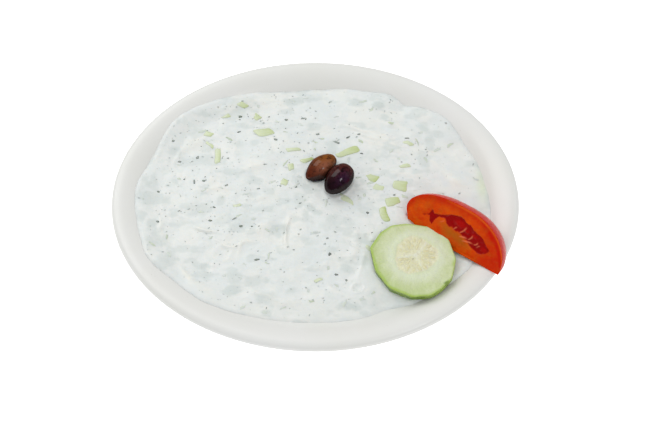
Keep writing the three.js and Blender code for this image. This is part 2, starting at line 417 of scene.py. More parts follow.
def fibre_group():
    """Fine streaks that run along X: noise of a position that is squeezed along X."""
    tree, shading, start, end = new_group(
        "fibres",
        [
            ("Position", "NodeSocketVector", None),
            ("Fineness", "NodeSocketFloat", 2.0),
        ],
        [("Streaks", "NodeSocketFloat")],
    )
    feeds = {0: start["Position"], 1: (0.15, 1.0, 1.0)}
    drawn = shading.add("ShaderNodeVectorMath", feeds, operation="MULTIPLY").outputs[0]
    streaks = shading.noise(drawn, start["Fineness"], 3.0, 0.6, 0.3)
    shading.tree.links.new(streaks, end["Streaks"])
    return tree


GROUPS = {}


def shared(name):
    """The shared node group of that name, built the first time that a material asks for it."""
    makers = {"grain": grain_group, "blotches": blotch_group, "fibres": fibre_group}
    if name not in GROUPS:
        GROUPS[name] = makers[name]()
    return GROUPS[name]


def start_material(name, **plain):
    """A material with a Principled BSDF whose plain values are set on its own sockets."""
    material = bpy.data.materials.new(name)
    material.use_nodes = True
    tree = material.node_tree
    shader = next(node for node in tree.nodes if node.type == "BSDF_PRINCIPLED")
    for label, value in plain.items():
        shader.inputs[label.replace("_", " ")].default_value = value
    shading = Shading(tree)
    local = shading.add("ShaderNodeTexCoord").outputs["Object"]
    to_mm = shading.add("ShaderNodeVectorMath", {0: local}, operation="SCALE")
    to_mm.inputs["Scale"].default_value = 1.0 / MM
    return material, shading, shader, to_mm.outputs[0]


def finish_material(shading, shader, feeds, height=None, depth=0.1):
    """Links the varying values to the shader, and a height in millimetres through a bump."""
    for label, socket in feeds.items():
        shading.tree.links.new(socket, shader.inputs[label])
    if height is not None:
        bump = {"Strength": 1.0, "Distance": depth * MM, "Height": height}
        shading.tree.links.new(
            shading.add("ShaderNodeBump", bump).outputs["Normal"], shader.inputs["Normal"]
        )


# ------------------------------------------------------------------ finishes


def glaze_material():
    """White glaze: a slow drift of warmth, faint specks in it and an unglazed foot ring."""
    material, shading, shader, place = start_material(
        "white_glaze", Coat_Weight=0.25, Coat_Roughness=0.16, IOR=1.5,
    )
    patch = shading.patches(place, 0.018, 0.5, 0.2, colour(238, 238, 236), colour(235, 235, 230))
    specks = shading.span(shading.noise(place, 0.9, 2.0, 0.4), 0.74, 0.8)
    white = shading.mix(specks, patch, colour(222, 221, 214))
    bare = shading.layer("unglazed")
    body = shading.mix(bare, white, colour(214, 206, 190))
    grain = shading.grain(place, (0.08, 0.7), 0.12, (0.3, 0.38))
    rough_foot = shading.span(bare, 0.0, 1.0, 0.0, 0.6)
    feeds = {"Base Color": body, "Roughness": shading.math("ADD", grain["Roughness"], rough_foot)}
    finish_material(shading, shader, feeds, grain["Height"], 0.06)
    return material


def tzatziki_material():
    """Thick yoghurt: warm white with cool thin places, and grey-green where cucumber lies under."""
    material, shading, shader, place = start_material(
        "tzatziki", Subsurface_Weight=0.25, Subsurface_Radius=(1.0, 0.9, 0.8),
        Subsurface_Scale=2.5 * MM, Coat_Weight=0.12, Coat_Roughness=0.3,
    )
    thin = shading.patches(place, 0.045, 0.5, 0.13, colour(239, 241, 238), colour(231, 236, 235))
    curds = shading.patches(place, 0.22, 0.56, 0.1, thin, colour(231, 236, 233))
    creamy = shading.mix(shading.layer("cream"), curds, colour(243, 243, 236))
    sunk = shading.mix(shading.layer("cucumber"), creamy, colour(212, 220, 217))
    green = shading.mix(shading.layer("green_edge"), sunk, colour(226, 236, 206))
    dusk = shading.span(shading.noise(place, 1.6, 2.0, 0.5), 0.66, 0.76, 0.0, 0.2)
    specked = shading.mix(dusk, green, colour(186, 196, 192))
    grain = shading.grain(place, (0.45, 1.7), 0.35, (0.36, 0.52))
    feeds = {"Base Color": specked, "Roughness": grain["Roughness"]}
    finish_material(shading, shader, feeds, grain["Height"], 0.1)
    return material


def bit_material(name, translucency, gloss):
    """Cucumber flesh whose colour each piece carries, streaked and damp."""
    material, shading, shader, place = start_material(
        name, Subsurface_Weight=translucency, Subsurface_Radius=(1.0, 1.0, 0.6),
        Subsurface_Scale=1.5 * MM, Coat_Weight=gloss,
    )
    own = shading.layer_colour("tint")
    streaks = shading.fibres(place, 1.4)
    paler = shading.mix(shading.span(streaks, 0.4, 0.7, 0.0, 0.3), own, colour(232, 238, 214))
    grain = shading.grain(place, (0.9, 3.0), 0.3, (0.3, 0.48))
    feeds = {"Base Color": paler, "Roughness": grain["Roughness"]}
    finish_material(shading, shader, feeds, grain["Height"], 0.15)
    return material


def herb_material():
    """Chopped dill and mint: each flake's own dark green, broken by lighter veins."""
    material, shading, shader, place = start_material("chopped_herb")
    own = shading.layer_colour("tint")
    veins = shading.fibres(place, 3.5)
    body = shading.mix(shading.span(veins, 0.5, 0.72, 0.0, 0.35), own, colour(150, 168, 140))
    grain = shading.grain(place, (1.5, 5.0), 0.4, (0.4, 0.65))
    feeds = {"Base Color": body, "Roughness": grain["Roughness"]}
    finish_material(shading, shader, feeds, grain["Height"], 0.1)
    return material


# ------------------------------------------------------------------ the dish

LIP = 3.2  # radius of the rounded lip
ROLL = 20.0  # radius of the rim where it rolls down into the bowl
SLOPE = 45.0  # steepest slope of the wall, in degrees
WALL = 5.2
FLOOR = 7.0
FILLET = 16.0  # between the wall and the floor
FOOT_INSET = 41.6  # from the lip's outer edge to the foot's
FOOT_RING = 5.0  # width of the ring that the dish stands on
FOOT_RECESS = 1.3
FOOT_ROUND = 2.2

FOOT = HALF_LENGTH - FOOT_INSET
CREST = HALF_LENGTH - LIP
ROLL_HEIGHT = RIM_HEIGHT - ROLL
WALL_TOP = arc((CREST, ROLL_HEIGHT), ROLL, 90, 90 + SLOPE, 2)[-1]
STRAIGHT = (WALL_TOP[1] - FLOOR - FILLET * (1 - math.cos(math.radians(SLOPE)))) / math.tan(
    math.radians(SLOPE)
)
FLOOR_EDGE = WALL_TOP[0] - STRAIGHT - FILLET * math.sin(math.radians(SLOPE))


def inner_profile():
    """The bowl from its crest to the middle of its floor: the roll, the wall and the fillet."""
    return np.concatenate([
        arc((CREST, ROLL_HEIGHT), ROLL, 90, 90 + SLOPE, 30),
        arc((FLOOR_EDGE, FLOOR + FILLET), FILLET, -90 + SLOPE, -90, 24),
        [[0.5, FLOOR]],
    ])


def wall_height(along):
    """Height of the bowl's inner surface at a distance along the half length."""
    profile = inner_profile()[::-1]
    return np.interp(along, profile[:, 0], profile[:, 1])


def across_for(along):
    """Half width of the oval of that half length: the rim keeps one width all round."""
    inner = (FLOOR_EDGE - NARROWING) / FLOOR_EDGE
    return np.where(along >= FLOOR_EDGE, along - NARROWING, along * inner)


def oval(along, angle, height):
    """Points of the ovals of those half lengths, at angles in radians."""
    x = along * np.cos(angle)
    y = across_for(along) * np.sin(angle)
    return np.stack(np.broadcast_arrays(x, y, height), axis=-1)


def dish_profile():
    """The section from the middle underneath, over foot, wall and lip, to the floor's middle."""
    thin = ROLL - WALL
    under = arc((CREST, ROLL_HEIGHT), thin, 90 + SLOPE, 97, 14)
    flare = (under[0][1] - FOOT_ROUND) / math.tan(math.radians(SLOPE))
    outline = np.concatenate([
        [[0.5, FOOT_RECESS], [FOOT - FOOT_RING - 1.6, FOOT_RECESS], [FOOT - FOOT_RING, 0.0]],
        [[FOOT, 0.0], [FOOT + 1.5, 0.55], [under[0][0] - flare, FOOT_ROUND]],
        under,
        arc((CREST, RIM_HEIGHT - LIP), LIP, -80, 90, 26),
        inner_profile()[1:],
    ])

    def spacing(line):
        """Close at the lip and the foot, wide where the dip hides the bowl."""
        near_lip = hump(line[:, 0] - HALF_LENGTH, 9.0)
        near_foot = hump(line[:, 0] - FOOT, 7.0) * hump(line[:, 1], 4.0)
        return 2.6 - 2.0 * np.clip(near_lip + near_foot, 0.0, 1.0)

    line = evenly(outline, spacing)
    line[1:-1] = softened(line, 3)[1:-1]
    return line


def build_dish(settings):
    """The profile carried round the oval. The rim waves a little, as pressed stoneware does."""
    profile = dish_profile()
    angle = circle(settings.facets)
    along, height = profile[:, :1], profile[:, 1:]
    grid = oval(along, angle[None], height)
    share = smooth(FOOT + 3.65, HALF_LENGTH, along)
    wave = np.sin(2 * angle + 0.6) * 0.5 + np.sin(3 * angle + 2.0) * 0.3 + np.sin(5 * angle) * 0.2
    inward = 1.0 - share * settings.waviness / HALF_LENGTH * (1.0 + wave[None])
    grid[..., :2] *= inward[..., None]
    grid[..., 2] -= share * 0.5 * settings.waviness * (1.0 + np.roll(wave, 40)[None])
    bare = hump(height, 0.35) * smooth(FOOT - 18.35, FOOT - 10.35, along)
    bare = bare * smooth(FOOT + 3.65, FOOT + 0.65, along)
    unglazed = with_ends(np.broadcast_to(bare, grid.shape[:2]))
    shape = rings(grid)
    piece("glazed_dish", shape, glaze_material(), ["dish"], {"unglazed": unglazed})


# ------------------------------------------------------------------ where the garnish lies


class Pose:
    """A piece's own axes in the dish: points are turned by the matrix, then moved."""

    def __init__(self, matrix, outline, node):
        """The move brings the turned outline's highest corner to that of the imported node."""
        self.matrix = matrix
        self.place = node_box(node)[1] - (outline @ matrix.T).max(axis=0)

    def to_dish(self, local):
        return local @ self.matrix.T + self.place

    def to_local(self, points):
        return (points - self.place) @ self.matrix

    def face_height(self, x, y):
        """Height over the plan of the plane that is z = 0 in the piece's own axes."""
        normal = self.matrix[:, 2]
        lean = (x - self.place[0]) * normal[0] + (y - self.place[1]) * normal[1]
        return self.place[2] - lean / normal[2]


# The slice: corners that the peeler left, each a bearing in degrees and a radius.
SLICE_THICKNESS = 4.6
SLICE_RISE = 3.2  # degrees, towards +X and towards -Y
SLICE_CORNERS = [
    (-2, 24.6), (30, 24.3), (62, 23.6), (97, 23.9), (118, 25.7), (135, 25.8), (161, 26.0),
    (197, 22.8), (233, 23.2), (266, 24.6), (291, 25.6), (306, 25.2), (329, 25.4),
]


def slice_radius(angle):
    """The slice's radius at angles in radians: straight cuts between corners, a little rounded."""
    fine = np.radians(np.arange(0.0, 360.0, 0.5))
    bearings = np.radians([corner[0] for corner in SLICE_CORNERS])
    radii = np.array([corner[1] for corner in SLICE_CORNERS])
    turned = (fine - bearings[0]) % (2 * math.pi) + bearings[0]
    after = np.searchsorted(bearings, turned, side="right") % len(bearings)
    before = after - 1
    from_before = (turned - bearings[before]) % (2 * math.pi)
    to_after = (bearings[after] - turned) % (2 * math.pi)
    chord = radii[before] * radii[after] * np.sin(from_before + to_after)
    radius = chord / (radii[before] * np.sin(from_before) + radii[after] * np.sin(to_after))
    offsets = np.arange(-14, 15)
    weights = hump(offsets, 7.0)
    soft = sum(w * np.roll(radius, k) for k, w in zip(offsets, weights)) / weights.sum()
    return np.interp(np.mod(angle, 2 * math.pi), fine, soft, period=2 * math.pi)


def slice_outline():
    angle = circle(180)
    radius = slice_radius(angle)
    flat = np.stack([radius * np.cos(angle), radius * np.sin(angle), 0 * angle], axis=-1)
    return np.concatenate([flat, flat + [0.0, 0.0, SLICE_THICKNESS]])


SLICE_POSE = Pose(turn(-SLICE_RISE, 0, 0) @ turn(0, -SLICE_RISE, 0), slice_outline(),
                  "cucumber_slice")

# The wedge: its core edge lies along its own X, its lower cut face is z = 0.
STEM_SIDE = 37.6  # from the middle of the core to the stem end
TIP_SIDE = 30.8
FRUIT_RADIUS = 24.9
STEM_BLUNT = 2.8
TIP_BLUNT = 2.07
DIMPLE = 6.0
DIMPLE_RADIUS = 7.0
PAST_CORE = 2.7  # the cuts meet this far beyond the core
OPENING = 51.0  # degrees between the cuts
WEDGE_BEARING = -35.5
WEDGE_TILT = 7.3


def fruit_profile(steps):
    """(x, radius) of the whole fruit along its core, blunt at the stem and rounder at the tip."""
    along = -np.cos(np.pi * np.linspace(0.0, 1.0, steps))
    stem = along < 0
    blunt = np.where(stem, STEM_BLUNT, TIP_BLUNT)
    share = np.maximum(1.0 - np.abs(along) ** blunt, 0.0) ** (1.0 / blunt)
    radius = share * FRUIT_RADIUS
    hollow = np.where(stem, DIMPLE * np.exp(-((radius / DIMPLE_RADIUS) ** 2)), 0.0)
    return np.stack([along * np.where(stem, STEM_SIDE, TIP_SIDE) + hollow, radius], axis=-1)


def reach(radius, angle):
    """How far from the core edge the skin is, at an angle in degrees from the lower cut."""
    off = np.radians(angle - OPENING / 2)
    inside = np.maximum(radius**2 - (PAST_CORE * np.sin(off)) ** 2, 0.0)
    return PAST_CORE * np.cos(off) + np.sqrt(inside)


def wedge_outline():
    profile = fruit_profile(80)
    angle = np.linspace(0.0, OPENING, 30)
    far = reach(profile[:, 1:], angle[None])
    x = np.broadcast_to(profile[:, :1], far.shape)
    skin = np.stack([x, far * np.cos(np.radians(angle)), far * np.sin(np.radians(angle))], -1)
    return skin.reshape(-1, 3)


WEDGE_POSE = Pose(turn(0, -WEDGE_TILT, WEDGE_BEARING), wedge_outline(), "tomato_wedge")

OLIVES = {
    "olive_1": {"half": 11.2, "radius": 7.0, "taper": -0.16, "bearing": 40, "pitch": 4},
    "olive_2": {"half": 10.8, "radius": 7.5, "taper": 0.1, "bearing": 50, "pitch": 6},
}


def olive_form(olive, along, around):
    """An olive along its own X: a ball stretched to its length, fuller towards one end."""
    fullness = olive["radius"] * (1.0 + olive["taper"] * along)
    across = np.sqrt(np.maximum(1.0 - along**2, 0.0)) * fullness
    return np.stack(np.broadcast_arrays(
        along * olive["half"], across * np.cos(around), across * np.sin(around)
    ), axis=-1)


def olive_pose(name):
    olive = OLIVES[name]
    along = np.linspace(-1.0, 1.0, 81)[:, None]
    around = circle(72)[None]
    outline = olive_form(olive, along, around).reshape(-1, 3)
    return Pose(turn(0, -olive["pitch"], olive["bearing"]), outline, name)


OLIVE_POSES = {name: olive_pose(name) for name in OLIVES}


# ------------------------------------------------------------------ the dip

DIP_LEVEL = 30.5
MOUND = 0.7  # how much the middle stands above the level
EDGE_LIFT = 0.5  # thickness of the dip near where it meets the wall
EDGE_ROUND = 2.4  # how far in from the wall its edge rounds over
EDGE_BLEND = 15.0  # how far in it follows the wall rather than the level
INTO_WALL = 0.12  # how far it reaches into the wall, so that no gap shows
INTO_GARNISH = 0.25  # and into what lies on it
UNDER_RINGS = 12

# How far the dip ends from the rim's outer edge, and where the spoon changed that:
# bearing round the oval, how wide the change is, and how much further in it ends.
DIP_INSET = 16.6
EDGE_CHANGES = [
    (138, 17, -6.0), (43, 8, -2.6), (65, 5, -2.0), (58, 3, 1.2), (-30, 15, -2.5), (-85, 24, 3.0),
    (-66, 6, 3.6), (-152, 16, -4.0), (92, 13, 1.5), (8, 13, 1.5), (178, 12, -3.4), (-125, 10, -2.0),
]

# Strokes of the spoon: start, end, how far the stroke bows to its left, width and height,
# and how much narrower its left side is. A negative height is a crease.
STROKES = [
    ((-15.0, -8.0), (-14.5, -36.0), -2.5, 1.9, 1.15, 0.6),
    ((-20.5, -10.5), (-17.0, -33.0), -5.5, 4.5, -0.7, 1.0),
    ((11.0, 52.0), (57.0, 33.0), 3.5, 2.0, 0.95, 0.6),
    ((14.0, 48.0), (61.0, 29.0), 3.5, 1.3, 0.45, 0.7),
    ((20.0, 43.0), (66.0, 24.0), 3.0, 1.3, 0.4, 0.7),
    ((-72.0, -18.2), (-57.0, -22.4), -1.2, 0.75, -0.95, 0.5),
    ((-72.0, -16.4), (-55.0, -21.4), -1.4, 1.3, 0.7, 0.5),
    ((-60.0, -24.5), (-47.0, -27.0), -2.0, 1.0, 0.55, 0.7),
    ((-57.0, -27.5), (-40.0, -27.5), -3.0, 1.4, 0.7, 0.7),
    ((-44.0, -38.0), (-33.0, -26.0), 4.5, 1.5, 0.75, 0.6),
    ((-34.0, -24.0), (-25.0, -16.0), 3.0, 2.2, 0.6, 0.6),
    ((-88.0, 22.0), (-60.0, 47.0), 5.0, 2.6, 0.55, 0.7),
    ((-62.0, 60.0), (-18.0, 68.0), 4.0, 2.4, 0.5, 0.7),
    ((-92.0, -8.0), (-80.0, -34.0), -3.0, 2.0, 0.6, 0.7),
    ((-80.0, -40.0), (-58.0, -60.0), -3.5, 2.4, 0.7, 0.7),
    ((-40.0, -56.0), (-6.0, -66.0), -3.0, 2.2, 0.55, 0.7),
    ((4.0, -52.0), (28.0, -66.0), -2.0, 2.0, 0.5, 0.7),
    ((24.0, -16.0), (14.0, -44.0), 5.0, 2.6, 0.5, 0.7),
    ((28.0, -30.0), (20.0, -58.0), 3.0, 2.0, 0.45, 0.7),
    ((18.0, -24.0), (31.0, -34.0), -2.0, 0.9, -0.5, 0.8),
    ((40.0, 22.0), (70.0, 10.0), 2.5, 2.4, 0.5, 0.7),
    ((62.0, 30.0), (88.0, 2.0), 4.0, 2.8, 0.6, 0.7),
    ((-50.0, 18.0), (-26.0, 26.0), 2.0, 2.6, 0.45, 0.7),
    ((-44.0, -2.0), (-18.0, 4.0), 2.4, 2.2, 0.4, 0.7),
    ((-76.0, 4.0), (-50.0, 8.0), 2.0, 2.0, 0.4, 0.7),
    ((-10.0, -44.0), (12.0, -38.0), -2.5, 2.2, 0.45, 0.7),
    ((30.0, 56.0), (62.0, 44.0), 2.0, 2.6, 0.6, 0.7),
]

# Round marks: place, radius, depth of the middle (negative is a hump), height of the rim.
DENTS = [
    ((-20.5, -20.0), 5.0, 0.75, 0.0), ((24.0, -57.0), 2.6, 0.8, 0.5), ((-53.5, -35.0), 4.2, 0.5, 0.3),
    ((30.5, -24.0), 2.4, 0.4, 0.2), ((-62.0, -44.0), 3.4, 0.5, 0.2), ((-78.0, 30.0), 3.8, 0.35, 0.1),
    ((47.0, 54.0), 4.2, -0.7, 0.0), ((58.0, 44.0), 3.6, -0.6, 0.0), ((70.0, 36.0), 4.2, -0.6, 0.0),
    ((84.0, 14.0), 4.6, -0.6, 0.0), ((-30.0, -46.0), 6.0, -0.4, 0.0), ((2.0, -30.0), 5.0, -0.35, 0.0),
    ((-66.0, 20.0), 5.0, -0.35, 0.0), ((-36.0, 42.0), 6.0, -0.35, 0.0), ((14.0, 38.0), 4.6, 0.3, 0.1),
]

# Cucumber just under the surface: place, half length and width, bearing, how much it shows.
SUNK = [
    ((-13.0, 70.0), 7.0, 3.0, 5, 0.75), ((24.0, 68.0), 5.0, 2.6, -20, 0.6),
    ((39.0, 66.0), 4.2, 3.0, 10, 0.8), ((42.0, 57.5), 4.0, 2.4, -30, 0.6),
    ((66.0, 49.0), 5.0, 3.2, -40, 0.75), ((69.0, 40.0), 3.4, 5.6, 0, 0.6),
    ((-1.5, -6.5), 5.2, 2.4, -38, 0.7), ((18.0, -44.5), 4.8, 2.6, -42, 0.6),
    ((20.5, -68.0), 6.4, 2.8, -8, 0.75), ((-47.5, -58.0), 5.2, 4.0, 10, 0.7),
    ((-63.5, -49.0), 4.2, 2.6, -30, 0.45), ((-94.5, -16.0), 4.0, 3.0, 20, 0.6),
    ((-89.0, -27.0), 6.0, 3.4, -35, 0.55), ((-88.0, -42.0), 5.0, 5.0, 60, 0.5),
    ((-72.0, 46.0), 5.0, 3.0, 30, 0.45), ((-99.0, 30.0), 3.0, 8.0, -12, 0.55),
    ((-96.0, 12.0), 2.6, 6.5, 8, 0.45), ((-48.0, 67.0), 9.0, 3.0, 14, 0.45),
    ((-71.0, -5.0), 9.0, 5.0, -10, 0.4), ((-40.0, -14.0), 7.0, 5.0, 20, 0.35),
    ((-21.0, -20.0), 5.4, 4.4, 0, 0.6), ((4.0, 14.0), 12.0, 5.0, 0, 0.2),
    ((9.0, -16.0), 8.0, 5.0, 20, 0.35), ((30.0, -6.0), 6.0, 5.0, 0, 0.3),
    ((-28.0, -62.0), 8.0, 3.4, -6, 0.4), ((34.0, 30.0), 8.0, 4.0, 10, 0.3),
    ((78.0, -4.0), 5.0, 4.0, 0, 0.3), ((-52.0, -12.0), 7.0, 3.0, 24, 0.35),
    ((64.0, 10.0), 7.0, 4.0, -20, 0.3), ((-20.0, 52.0), 9.0, 4.0, 12, 0.3),
]


def dip_edge(angle):
    """Half length of the oval on which the dip meets the wall, at angles in radians."""
    bearing = np.degrees(angle)
    inset = DIP_INSET + 0.0 * bearing
    for centre, width, change in EDGE_CHANGES:
        inset = inset + change * hump(bearing_gap(bearing, centre), width)
    around = np.stack([np.cos(angle), np.sin(angle), 0 * angle], axis=-1)
    inset = inset + 0.7 * rough(around, 0.22, 3, 11)
    return HALF_LENGTH - inset


def stroke_height(x, y, stroke):
    """A ridge along a bowed line, with a bell-shaped section that is narrower on its left."""
    start, end, bow, width, height, left = stroke
    start, end = np.array(start), np.array(end)
    length = np.linalg.norm(end - start)
    ahead = (end - start) / length
    along = ((x - start[0]) * ahead[0] + (y - start[1]) * ahead[1]) / length
    side = -(x - start[0]) * ahead[1] + (y - start[1]) * ahead[0]
    wander = 0.8 * noise(plan(x, y), 7.0, 31) * min(width, 2.0)
    side = side - 4.0 * bow * along * (1.0 - along) + wander
    broad = np.where(side > 0.0, width * left, width) * (0.7 + 0.6 * smooth(0.0, 1.0, along))
    ends = smooth(0.0, 0.3, along) * smooth(1.0, 0.65, along)
    return height * hump(side, broad) * ends


def dent_height(x, y, dent):
    """A round hollow, or a hump, with a raised rim."""
    (at_x, at_y), radius, depth, rim = dent
    out = np.hypot(x - at_x, (y - at_y) * 1.15) + 0.8 * noise(plan(x, y), 4.0, 37)
    return rim * hump(out - radius * 1.25, radius * 0.35) - depth * hump(out, radius)


def spot(x, y, centre, half_length, half_width, bearing):
    """1 inside a turned oval patch with a ragged, soft edge, and 0 outside."""
    ahead, side = swung(x - centre[0], y - centre[1], -math.radians(bearing))
    ragged = np.hypot(ahead / half_length, side / half_width) + 0.35 * rough(plan(x, y), 3.5, 2, 43)
    return smooth(1.25, 0.55, ragged)


def pressed(x, y, height):
    """The surface pushed down under the garnish, and a little raised round the olives."""
    local = SLICE_POSE.to_local(np.stack([x, y, SLICE_POSE.face_height(x, y)], axis=-1))
    out = np.hypot(local[..., 0], local[..., 1]) - slice_radius(np.arctan2(local[..., 1],
                                                                          local[..., 0]))
    under = SLICE_POSE.face_height(x, y) + INTO_GARNISH
    height = np.where(out < -0.4, np.minimum(height, under), height)
    local = WEDGE_POSE.to_local(np.stack([x, y, WEDGE_POSE.face_height(x, y)], axis=-1))
    profile = fruit_profile(81)[8:]
    far = np.interp(local[..., 0], profile[:, 0], reach(profile[:, 1], 0.0), left=0.0, right=0.0)
    near = 0.8 + CORE_SET_BACK * smooth(-19.0, -32.0, local[..., 0])
    covered = (local[..., 1] > near) & (local[..., 1] < far - 0.8)
    under = WEDGE_POSE.face_height(x, y) + INTO_GARNISH
    height = np.where(covered, np.minimum(height, under), height)
    for name, pose in OLIVE_POSES.items():
        olive = OLIVES[name]
        turned = math.radians(olive["bearing"])
        along, side = swung(x - pose.place[0], y - pose.place[1], -turned)
        along = along / olive["half"]
        fullness = olive["radius"] * (1.0 + olive["taper"] * np.clip(along, -1.0, 1.0))
        out = np.hypot(along, side / fullness)
        lower = pose.place[2] - olive["radius"] * np.sqrt(np.maximum(1.0 - out**2, 0.0))
        height = height + 0.55 * hump(out - 0.98, 0.16)
        height = np.where(out < 0.97, np.minimum(height, lower + INTO_GARNISH + 0.05), height)
    return height


def dip_texture(x, y):
    """Small unevenness: grated cucumber under the surface, curds and pits, in millimetres."""
    place = plan(x, y)
    drift = plan(1.7 * rough(place, 30.0, 2, 51), 1.7 * rough(place, 30.0, 2, 53))
    drawn = (place + 2.0 * drift) * [0.55, 1.0, 1.0]
    shreds = smooth(0.12, 0.75, rough(drawn, 3.4, 2, 57))
    curds = rough(place, 2.1, 2, 59)
    swell = rough(place + drift, 15.0, 3, 61)
    pits = smooth(0.62, 0.85, noise(place, 1.9, 67))
    return 0.13 * shreds + 0.02 * curds + 0.42 * swell - 0.1 * pits


def dip_place(x, y):
    """Angle round the dip, share of the way out and the edge there, found by correcting thrice."""
    edge = HALF_LENGTH - DIP_INSET
    for _ in range(3):
        angle = np.arctan2(y / (edge - NARROWING), x / edge)
        edge = dip_edge(angle)
    return angle, np.hypot(x / edge, y / (edge - NARROWING)), edge


def surface_height(x, y, angle, share, edge):
    """The level, its mound and relief, which follow the wall near the edge and round over."""
    width = np.hypot(edge * np.cos(angle), (edge - NARROWING) * np.sin(angle))
    inward = np.maximum(1.0 - share, 0.0) * width
    level = DIP_LEVEL + MOUND * (1.0 - np.clip(share, 0.0, 1.0) ** 2)
    level = level + 0.3 * np.sin(x / 12.0 + 1.3 * np.sin(y / 19.0)) * np.cos(y / 11.0)
    at_edge = wall_height(edge) + EDGE_LIFT
    height = level + (at_edge - level) * smooth(EDGE_BLEND, 0.5, inward)
    relief = dip_texture(x, y)
    for stroke in STROKES:
        relief = relief + stroke_height(x, y, stroke)
    for dent in DENTS:
        relief = relief + dent_height(x, y, dent)
    for centre, length, breadth, bearing, shown in SUNK:
        relief = relief + 0.35 * shown * spot(x, y, centre, length, breadth, bearing)
    height = pressed(x, y, height + relief * smooth(0.0, 5.0, inward))
    wall = wall_height(edge - inward)
    over = np.clip(inward / EDGE_ROUND, 0.0, 1.0)
    return wall + np.maximum(height - wall, 0.15) * np.sqrt(1.0 - (1.0 - over) ** 2)


def dip_height(x, y):
    """Height of the dip's surface over a place in the plan."""
    return surface_height(x, y, *dip_place(x, y))


def build_dip(settings):
    """A polar grid out to the wall, closer-set at its edge, and an underside that fills the bowl."""
    angle = circle(settings.around)[None]
    edge = dip_edge(angle)
    step = np.linspace(0.0, 1.0, settings.rings + 1)[1:, None]
    share = step + 0.06 * np.sin(np.pi * step) * step
    x = share * edge * np.cos(angle)
    y = share * (edge - NARROWING) * np.sin(angle)
    top = np.stack([x, y, surface_height(x, y, angle, share, edge)], axis=-1)
    out = np.linspace(1.0, 0.02, UNDER_RINGS)[:, None] * (edge + INTO_WALL)
    under = oval(out, angle, np.maximum(wall_height(out) - INTO_WALL, FLOOR - INTO_WALL))
    shape = rings(np.concatenate([top, under]))
    px, py = shape[0][:, 0], shape[0][:, 1]
    place = plan(px, py)
    cucumber = 0.5 * smooth(0.25, 0.8, rough(place * [0.7, 1.0, 1.0], 6.5, 3, 71))
    for centre, length, width, bearing, shown in SUNK:
        patch = shown * spot(px, py, centre, length, width, bearing)
        cucumber = np.maximum(cucumber, patch)
    cream = 0.4 * smooth(0.1, 0.7, rough(place, 12.0, 3, 73))
    for stroke in STROKES:
        cream = cream + 0.8 * np.maximum(stroke_height(px, py, stroke), 0.0)
    green = 0.7 * hump(px - 99.0, 3.5) * hump(py - 11.0, 12.0)
    values = {"cucumber": cucumber, "cream": np.clip(cream, 0.0, 1.0), "green_edge": green}
    piece("tzatziki_dip", shape, tzatziki_material(), ["dip"], values)


# ------------------------------------------------------------------ cucumber bits and herbs

# Bits of cucumber on the dip: place, half length, half width, bearing, and how green it is.
BITS = [
    ((19.0, 33.0), 7.6, 2.2, 24, 0.75), ((-5.0, 27.6), 3.8, 1.5, 20, 0.8),
    ((34.0, 15.6), 3.4, 2.3, -32, 0.8), ((37.4, 8.6), 3.2, 2.0, -20, 0.3),
    ((50.2, 10.0), 4.4, 3.2, -12, 0.65), ((45.2, -0.8), 4.4, 2.8, 14, 0.75),
    ((40.2, -9.6), 2.2, 5.0, 14, 0.9), ((18.5, 0.6), 5.2, 1.6, -34, 0.3),
    ((53.4, 23.2), 3.4, 1.2, 10, 0.35), ((-31.4, 47.2), 5.2, 3.0, 14, 0.6),
    ((-58.8, 30.6), 1.9, 5.4, 4, 0.45), ((-64.8, 45.6), 2.8, 1.7, -22, 0.5),
    ((-36.0, 58.0), 2.2, 2.4, 50, 0.55), ((-45.0, 65.8), 2.6, 1.8, -30, 0.6),
    ((-13.6, 34.6), 4.4, 1.3, 6, 0.35), ((-18.4, 12.0), 2.2, 1.9, 70, 0.5),
    ((-15.0, 22.6), 1.7, 2.4, 20, 0.45), ((-64.0, 38.6), 3.0, 1.0, -40, 0.35),
    ((31.6, -31.5), 3.2, 1.3, -30, 0.3), ((-46.0, -3.5), 2.8, 1.0, 12, 0.25),
    ((-55.0, 58.5), 3.2, 1.1, 16, 0.35), ((7.4, 12.2), 1.6, 3.4, 10, 0.5),
    ((2.0, -52.0), 2.4, 1.0, 20, 0.2), ((56.0, 39.0), 3.0, 1.3, -34, 0.35),
]
FAINT_BITS = 84
BIT_RINGS = 9
BIT_AROUND = 16


# Bits and flakes keep this far from the middle of the slice, the wedge and an olive.
SLICE_REACH = 26.0
WEDGE_REACH = 38.0
OLIVE_REACH = 11.0


def inside_dip(count, margin, seed, lean=0.0):
    """Random places clear of the dip's edge by a margin, crowded to the far left by lean."""
    chance = np.random.default_rng(seed)
    x = chance.uniform(-HALF_LENGTH, HALF_LENGTH, count * 6)
    y = chance.uniform(-HALF_WIDTH, HALF_WIDTH, count * 6)
    angle, share, edge = dip_place(x, y)
    width = np.hypot(edge * np.cos(angle), (edge - NARROWING) * np.sin(angle))
    clear = (1.0 - share) * width > margin
    local = SLICE_POSE.to_local(np.stack([x, y, SLICE_POSE.face_height(x, y)], axis=-1))
    clear &= np.hypot(local[:, 0], local[:, 1]) > SLICE_REACH
    local = WEDGE_POSE.to_local(np.stack([x, y, WEDGE_POSE.face_height(x, y)], axis=-1))
    beside = (local[:, 1] < -1.0) | (local[:, 1] > FRUIT_RADIUS + 1.1)
    clear &= beside | (np.abs(local[:, 0]) > WEDGE_REACH)
    for pose in OLIVE_POSES.values():
        clear &= np.hypot(x - pose.place[0], y - pose.place[1]) > OLIVE_REACH
    thinned = lean * (x / HALF_LENGTH + 0.35 + 0.9 * (0.25 - y / HALF_WIDTH))
    clear &= chance.uniform(0.0, 1.0, count * 6) < 1.0 - thinned
    return x[clear][:count], y[clear][:count]


